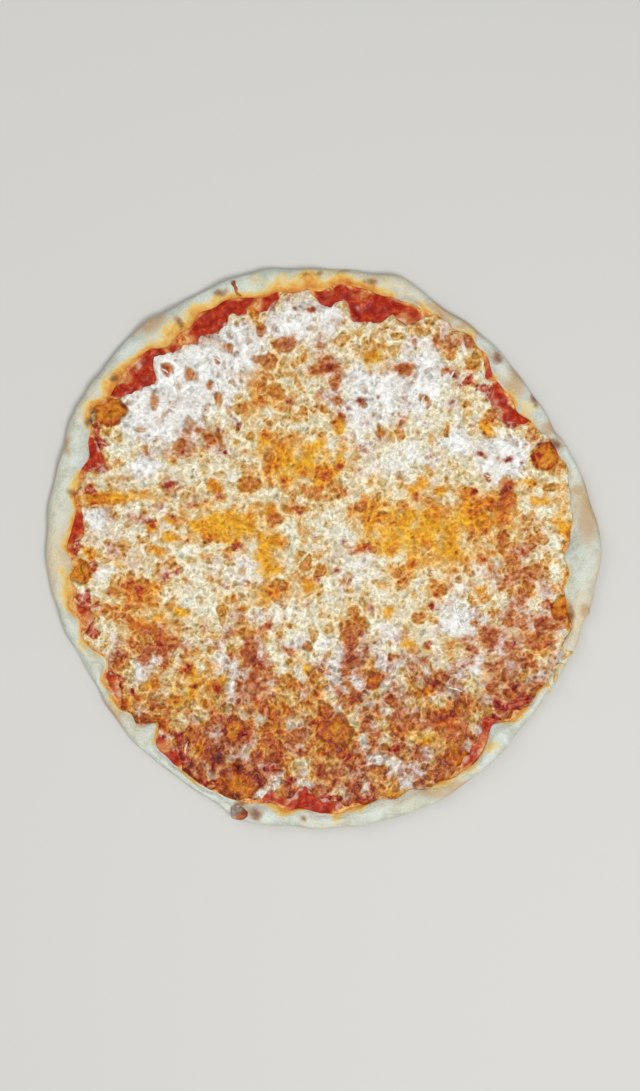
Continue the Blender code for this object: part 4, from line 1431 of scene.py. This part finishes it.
def sauce_pulp(finish):
    """The tomato sauce: rings from under the cheese out to the rim, with lumps of pulp, then
    the outer edge and a flat underside. Flat fans close it under the cheese."""
    angle = np.arange(SAUCE_STEPS) * 360 / SAUCE_STEPS
    inner = cheese_radius(angle) - SAUCE_MARGIN
    outer = topping_radius(angle) + 2 * GAP
    share = np.linspace(0, 1, SAUCE_RINGS)[:, None]
    x, y = spot_at(angle, inner + share * (outer - inner))
    lumps = sum(high * map_waves(wide, seed) for high, wide, seed in PULP_LUMPS)
    fade = np.minimum(share * 6, 1)
    z = SAUCE_LEVEL + (PULP_LEVEL + np.clip(sample(lumps, x, y), *PULP_RANGE)) * fade
    top = np.stack((x, y, z), axis=-1)
    foot_x, foot_y = spot_at(angle, outer)
    foot = np.stack((foot_x, foot_y, np.full_like(foot_x, SAUCE_UNDER)), axis=-1)
    points, faces = closed_skin(np.concatenate((top, foot[None]))[None])
    tints = sauce_tints(points[:, 0], points[:, 1], lumps)
    return new_piece("sauce_pulp", points, faces, tints, finish, "sauce")


# How far the rim's inner edge is soaked, and where further: (where, how wide, how far).
SOAK_WIDE = 0.0026
SOAK_SWELLS = (
    (92, 16, 0.0110),
    (124, 10, 0.0085),
    (145, 7, 0.0090),
    (174, 9, 0.0062),
    (190, 5, 0.0036),
    (204, 5, 0.0030),
    (227, 4, 0.0040),
    (262, 14, 0.0045),
    (307, 6, 0.0030),
    (33, 6, 0.0030),
    (8, 6, 0.0018),
)
# Blisters in the rim's dough: (across, down, wide) in the photo's pixels, and their rise.
RIM_BLISTERS = (
    (342, 281, 17, 0.0014),
    (97, 668, 14, 0.0012),
    (585, 612, 9, 0.0016),
    (308, 279, 9, 0.0009),
    (557, 443, 14, 0.0010),
    (116, 377, 14, 0.0010),
)
# Dents and lumps in the dough: (how deep, how wide in steps of the mesh, their seed), and how
# far they may sink and rise.
RIM_DENTS = ((0.00042, 9, 51), (0.00022, 4, 52), (0.00009, 1.6, 53))
DENT_RANGE = (-0.0009, 0.0007)
# The crust's mesh: points round the rim, rings across it, and where the underside's rings lie
# as shares of its foot's distance.
RIM_STEPS = 1300
RIM_RINGS = 38
BASE_REACHES = (0.97, 0.85, 0.7, 0.5, 0.3, 0.1)


def rim_height(angle):
    """Wide stretches of rim have puffed up more, and creases press into it."""
    width = crust_radius(angle) - topping_radius(angle)
    puff = RIM_RISE * np.minimum(width / WIDE_RIM, 1)
    lumps = ripple(angle, RIM_LUMP, RIM_WAVES)
    return RIM_LOW + puff + lumps - swell_sum(angle, CREASES)


def rim_points(angle, share):
    """Distance and height on the rim: a half ellipse on a slanting foot, drawn out on its
    inner side. Share 0 is its lip at the sauce and share 1 its outer side."""
    inner = topping_radius(angle) + GAP
    outer = crust_radius(angle)
    high = rim_height(angle)
    foot = WELL_LIP + share * (SIDE_SHARE * high - WELL_LIP)
    arch = np.sqrt(np.maximum(0, 1 - (2 * share - 1) ** 2))
    arch = np.where(share < 0.5, (arch + np.sin(np.pi * share) ** 1.3) / 2, arch)
    return inner + share * (outer - inner), foot + arch * (high - foot)


def dented_rim(angle, share):
    """Distance and height of the rim's rings, pushed out or in across their own slope: by
    random dents, which fade at both sides, and by a half ball for each blister."""
    out, z = rim_points(angle, share)
    slope_out, slope_up = np.gradient(out, axis=0), np.gradient(z, axis=0)
    length = np.hypot(slope_out, slope_up)
    dents = sum(deep * random_waves(out.shape, wide, seed) for deep, wide, seed in RIM_DENTS)
    dents *= np.minimum(share / 0.06, 1) * np.minimum((1 - share) / 0.04, 1)
    dents = np.clip(dents, *DENT_RANGE)
    rim_x, rim_y = spot_at(angle, out)
    for across, down, wide, rise in RIM_BLISTERS:
        x, y = pixel_spot(across, down)
        away = np.hypot(rim_x - x, rim_y - y) / (wide * PIXEL / 2)
        dents += rise * np.sqrt(np.clip(1 - away**2, 0, 1))
    return out - dents * slope_up / length, z + dents * slope_out / length


def rim_soak(x, y):
    """How far sauce and oil soaked the rim, from 0 to 1: falling off from its lip over an
    uneven width, strong where it swells and in patches elsewhere, and the stains."""
    angle, distance = polar_of(x, y)
    from_lip = np.maximum(distance - topping_radius(angle), 0)
    swell = swell_sum(angle, SOAK_SWELLS)
    broken = 0.65 - 0.35 * smooth(swell, 0.001, 0.008)
    uneven = np.clip(1 + broken * sample(CLOUD, x, y), 0.05, 2.2)
    soaked = np.clip(1.2 * (1 - from_lip / ((SOAK_WIDE + swell) * uneven)), 0, 1)
    patchy = 0.50 * sample(smooth(CLOUD + 0.6 * CLUMP, -0.4, 1.4), x, y)
    strong = np.maximum(patchy, 0.74 * smooth(swell, 0.0010, 0.0050))
    lip = soaked * np.clip(strong + 0.10 * sample(CLUMP, x, y), 0.04, 1)
    return np.maximum(lip, 0.4 * sample(painted(STAINED_RIM, 0.8), x, y))


def crust_dough(finish):
    """The crust: the well's floor, its lip, the rim's dented arch, the tucked-in foot and the
    underside, as rings from the middle out and back in again."""
    angle = np.arange(RIM_STEPS) * 360 / RIM_STEPS
    share = (1 - np.cos(np.linspace(0, np.pi, RIM_RINGS)))[:, None] / 2
    out, z = dented_rim(angle, share)
    floor = topping_radius(angle) + GAP
    foot = crust_radius(angle) - TUCK
    flat = np.array(BASE_REACHES)[:, None]
    distances = np.concatenate((floor[None], out, foot[None], foot * flat))
    heights = np.concatenate(
        (np.full((1, RIM_STEPS), FLOOR_TOP), z, np.zeros((1 + len(flat), RIM_STEPS)))
    )
    x, y = spot_at(angle, distances)
    points, faces = closed_skin(np.stack((x, y, heights), axis=-1)[None])
    rows = np.concatenate(([0], share[:, 0], np.ones(1 + len(flat))))
    across = np.concatenate((np.repeat(rows, RIM_STEPS), [0, 1]))
    below = (np.arange(len(rows)) > RIM_RINGS).astype(float)
    x, y = points[:, 0], points[:, 1]
    tints = {
        "tan": 1.2 * sample(painted(TANNED_RIM, 0.8), x, y) + 0.35 * smooth(across, 0.86, 1),
        "soak": rim_soak(x, y),
        "warm": np.clip(0.12 + 0.25 * sample(map_waves(0.014, seed=54), x, y), 0, 1),
        "burnt": sample(MAPS["burnt"], x, y),
        "under": np.concatenate((np.repeat(below, RIM_STEPS), [0, 1])),
    }
    return new_piece("crust_dough", points, faces, tints, finish, "crust")


# Small things on the rim, where the solids have them. The burnt strand: where it runs, how
# far in and out across the rim, how far it strays aside, and its width at its outer end. The
# fallen shreds: (where, share across the rim, heading, how baked), and their size. The drip:
# (where, share across the rim), and its half sizes along, across and up.
STRAND_ANGLE = 108
STRAND_SPAN = (0.10, 0.86)
STRAND_BEND = 1.2
STRAND_WIDTH = 0.0032
FALLEN_SHREDS = (
    (333, 0.30, 20, 0.20),
    (331, 0.52, 75, 0.34),
    (328, 0.36, 110, 0.26),
    (337, 0.34, 140, 0.14),
    (336, 0.62, 35, 0.36),
)
FALLEN_LENGTH = 0.0090
FALLEN_WIDTH = 0.0028
# Points along a strand's or shred's middle, and round it.
STRAND_STATIONS = 28
FALLEN_STATIONS = 12
ROD_SIDES = 12
DRIP = (252, 0.62)
DRIP_SIZES = (0.0065, 0.0050, 0.0022)
DRIP_RINGS = 12
DRIP_STEPS = 40


def even_tints(points, **values):
    """Tints for a small piece that has the same number at all its points, 0 if not given."""
    return {name: np.full(len(points), values.get(name, 0.0)) for name in TOPPING_TINTS}


def rim_spots(angle, share):
    """Points on the rim's top."""
    distance, z = rim_points(angle, share)
    x, y = spot_at(angle, distance)
    return np.stack((x, y, z), axis=-1)


def rim_spot(angle, share):
    """One point on the rim's top."""
    return rim_spots(np.array([angle]), np.array([share]))[0]


def rod(middle, half):
    """A closed round rod: circles of their own half widths round each point of a line, upright
    across the way that the line runs."""
    along = np.gradient(middle, axis=0)
    along /= np.linalg.norm(along, axis=1, keepdims=True)
    aside = np.cross(along, (0, 0, 1))
    aside /= np.linalg.norm(aside, axis=1, keepdims=True)
    up = np.cross(aside, along)
    turn = np.linspace(0, 2 * np.pi, ROD_SIDES, endpoint=False)[:, None]
    ring = aside[:, None] * np.cos(turn) + up[:, None] * np.sin(turn)
    return middle[:, None] + ring * half[:, None, None]


def burnt_strand(finish):
    """The strand that runs out over the rim: a rod along its top, knotted unevenly, narrow
    where it starts and thick and dark at its outer end."""
    along = np.linspace(0, 1, STRAND_STATIONS)
    share = STRAND_SPAN[0] + (STRAND_SPAN[1] - STRAND_SPAN[0]) * along
    bend = STRAND_BEND * np.sin(np.pi * share) + 0.25 * np.sin(9 * along)
    middle = rim_spots(STRAND_ANGLE + bend, share)
    knots = 0.60 + 0.42 * along**2 + 0.10 * np.sin(17 * along) + 0.06 * np.sin(31 * along)
    half = STRAND_WIDTH / 2 * knots * np.sqrt(1 - (2 * along - 1) ** 8 * 0.9)
    points, faces = closed_skin(rod(middle + (0, 0, 0.0004), half)[None])
    far = np.concatenate((np.repeat(along, ROD_SIDES), [0, 1]))
    tints = even_tints(points, rosy=0.5) | {"bake": 0.60 + 0.22 * far, "burnt": 0.5 * far**2}
    return new_piece("burnt_strand", points, faces, tints, finish)


def fallen_shreds(finish):
    """Five shreds lying on the rim: curved rods, flattened a little, each baked its own way."""
    along = np.linspace(-1, 1, FALLEN_STATIONS)
    rods, baked = [], []
    for count, (where, share, heading, bake) in enumerate(FALLEN_SHREDS):
        place = rim_spot(where, share)
        arc = FALLEN_LENGTH * 0.14 * np.sin(2 * count + 1) * (1 - along**2)
        x, y = laid_out(*place[:2], np.radians(heading), along * FALLEN_LENGTH / 2, arc)
        angle, distance = polar_of(x, y)
        inner, outer = topping_radius(angle) + GAP, crust_radius(angle)
        z = rim_points(angle, np.clip((distance - inner) / (outer - inner), 0.02, 0.98))[1]
        middle = np.stack((x, y, z + 0.0005), axis=-1)
        rods.append(rod(middle, FALLEN_WIDTH / 2 * np.sqrt(1 - 0.85 * along**4)))
        baked.append(np.full(ROD_SIDES * FALLEN_STATIONS + 2, bake))
    points, faces = closed_skin(np.array(rods))
    tints = even_tints(points, gold=0.5) | {"bake": np.concatenate(baked)}
    return new_piece("fallen_shreds", points, faces, tints, finish)


def cheese_drip(finish):
    """The drip over the near rim: a half ball flattened to an oval, on a wavy outline."""
    long, wide, high = DRIP_SIZES
    place, turn = rim_spot(*DRIP), np.radians(DRIP[0] + 90)
    rise = np.linspace(-0.25, 0.5, DRIP_RINGS)[:, None] * np.pi
    around = np.linspace(0, 2 * np.pi, DRIP_STEPS, endpoint=False)
    wave = 1 + 0.08 * np.sin(3 * around + 1) + 0.05 * np.sin(5 * around)
    reach = np.cos(rise) * wave
    x, y = laid_out(
        *place[:2], turn, long * reach * np.cos(around), wide * reach * np.sin(around)
    )
    z = place[2] + (high + 0.0007 * sample(PATCH, x, y)) * np.sin(rise)
    rings = np.stack((x, y, z), axis=-1)[:-1]
    points, faces = closed_skin(rings[None])
    along = (points[:, :2] - place[:2]) @ (np.cos(turn), np.sin(turn)) / long
    folds = sample(PATCH + 0.7 * FLECK, points[:, 0], points[:, 1])
    brown = smooth(along + 0.2 * folds, -0.9, 1.0)
    tints = even_tints(points, curd=0.7, rosy=0.6)
    # Its darkness is painted shade: darker all over and in the dips of its folds.
    tints |= {"bake": 0.34 + 0.40 * brown + 0.04 * folds, "deep": 0.5 - 0.5 * folds}
    return new_piece("cheese_drip", points, faces, tints, finish)


# ---- Floor, light and camera ----------------------------------------------------------

# How far the floor runs to each side, and its colour.
FLOOR_REACH = 3.0
PALE_FLOOR = inks(210, 208, 203)
# The lamps: (name, where, how wide, how strong in watts), all turned to the pizza's middle.
LAMPS = (
    ("window", (0.45, -0.55, 1.75), 0.7, 20),
    ("fill", (-1.2, 0.9, 1.5), 1.4, 8),
)
GLOW_COLOUR = (0.95, 0.98, 1.0, 1)
GLOW_STRENGTH = 0.47
# The camera's lens and the height of its film, in millimetres.
LENS = 85
FILM = 36


def floor_slab():
    """A plain pale table top: one wide square just under the pizza."""
    corners = np.array([(-1, -1, 0), (1, -1, 0), (1, 1, 0), (-1, 1, 0)]) * FLOOR_REACH
    mesh = bpy.data.meshes.new("floor")
    mesh.from_pydata(corners.tolist(), [], [(0, 1, 2, 3)])
    finish = Finish("pale_floor")
    finish.wear(base_color=PALE_FLOOR, roughness=0.9)
    mesh.materials.append(finish.material)
    floor = bpy.data.objects.new("floor", mesh)
    bpy.context.scene.collection.objects.link(floor)


def soft_lights():
    """A wide soft lamp high at the near right, a weaker one at the far left, and an even
    glow from all round. Colours are shown plainly, as the light makes them."""
    for name, spot, size, power in LAMPS:
        lamp = bpy.data.lights.new(name, "AREA")
        lamp.size = size
        lamp.energy = power
        thing = bpy.data.objects.new(name, lamp)
        aim = -np.array(spot)
        side = np.hypot(*aim[:2])
        thing.location = spot
        thing.rotation_euler = (np.arctan2(side, -aim[2]), 0, np.arctan2(aim[1], aim[0]) - np.pi / 2)
        bpy.context.scene.collection.objects.link(thing)
    glow = bpy.data.worlds.new("glow")
    glow.use_nodes = True
    background = glow.node_tree.nodes["Background"]
    background.inputs["Color"].default_value = GLOW_COLOUR
    background.inputs["Strength"].default_value = GLOW_STRENGTH
    bpy.context.scene.world = glow
    bpy.context.scene.view_settings.view_transform = "Standard"


def overhead_camera():
    """Looks straight down, so far up that the picture's height is the photo's."""
    camera = bpy.data.cameras.new("overhead")
    camera.sensor_fit = "VERTICAL"
    camera.sensor_height = FILM
    camera.lens = LENS
    thing = bpy.data.objects.new("overhead", camera)
    rise = PICTURE[1] * PIXEL * LENS / FILM
    thing.location = (*pixel_spot(*PICTURE_MIDDLE), rise + CHEESE_UNDER)
    bpy.context.scene.collection.objects.link(thing)
    bpy.context.scene.camera = thing


def main():
    """Builds the pizza's pieces, then the floor, the lights and the camera."""
    melted = cheese_finish()
    crust_dough(dough_finish())
    sauce_pulp(sauce_finish())
    cheese_sheet(melted)
    kept_by = np.clip(0.35 * MAPS["drift"], 0.02, 1)
    whole_shreds(shred_draws(WHOLE_SHREDS, kept_by, seed=61), melted)
    for made in (burnt_strand, fallen_shreds, cheese_drip):
        made(melted)
    floor_slab()
    soft_lights()
    overhead_camera()


main()
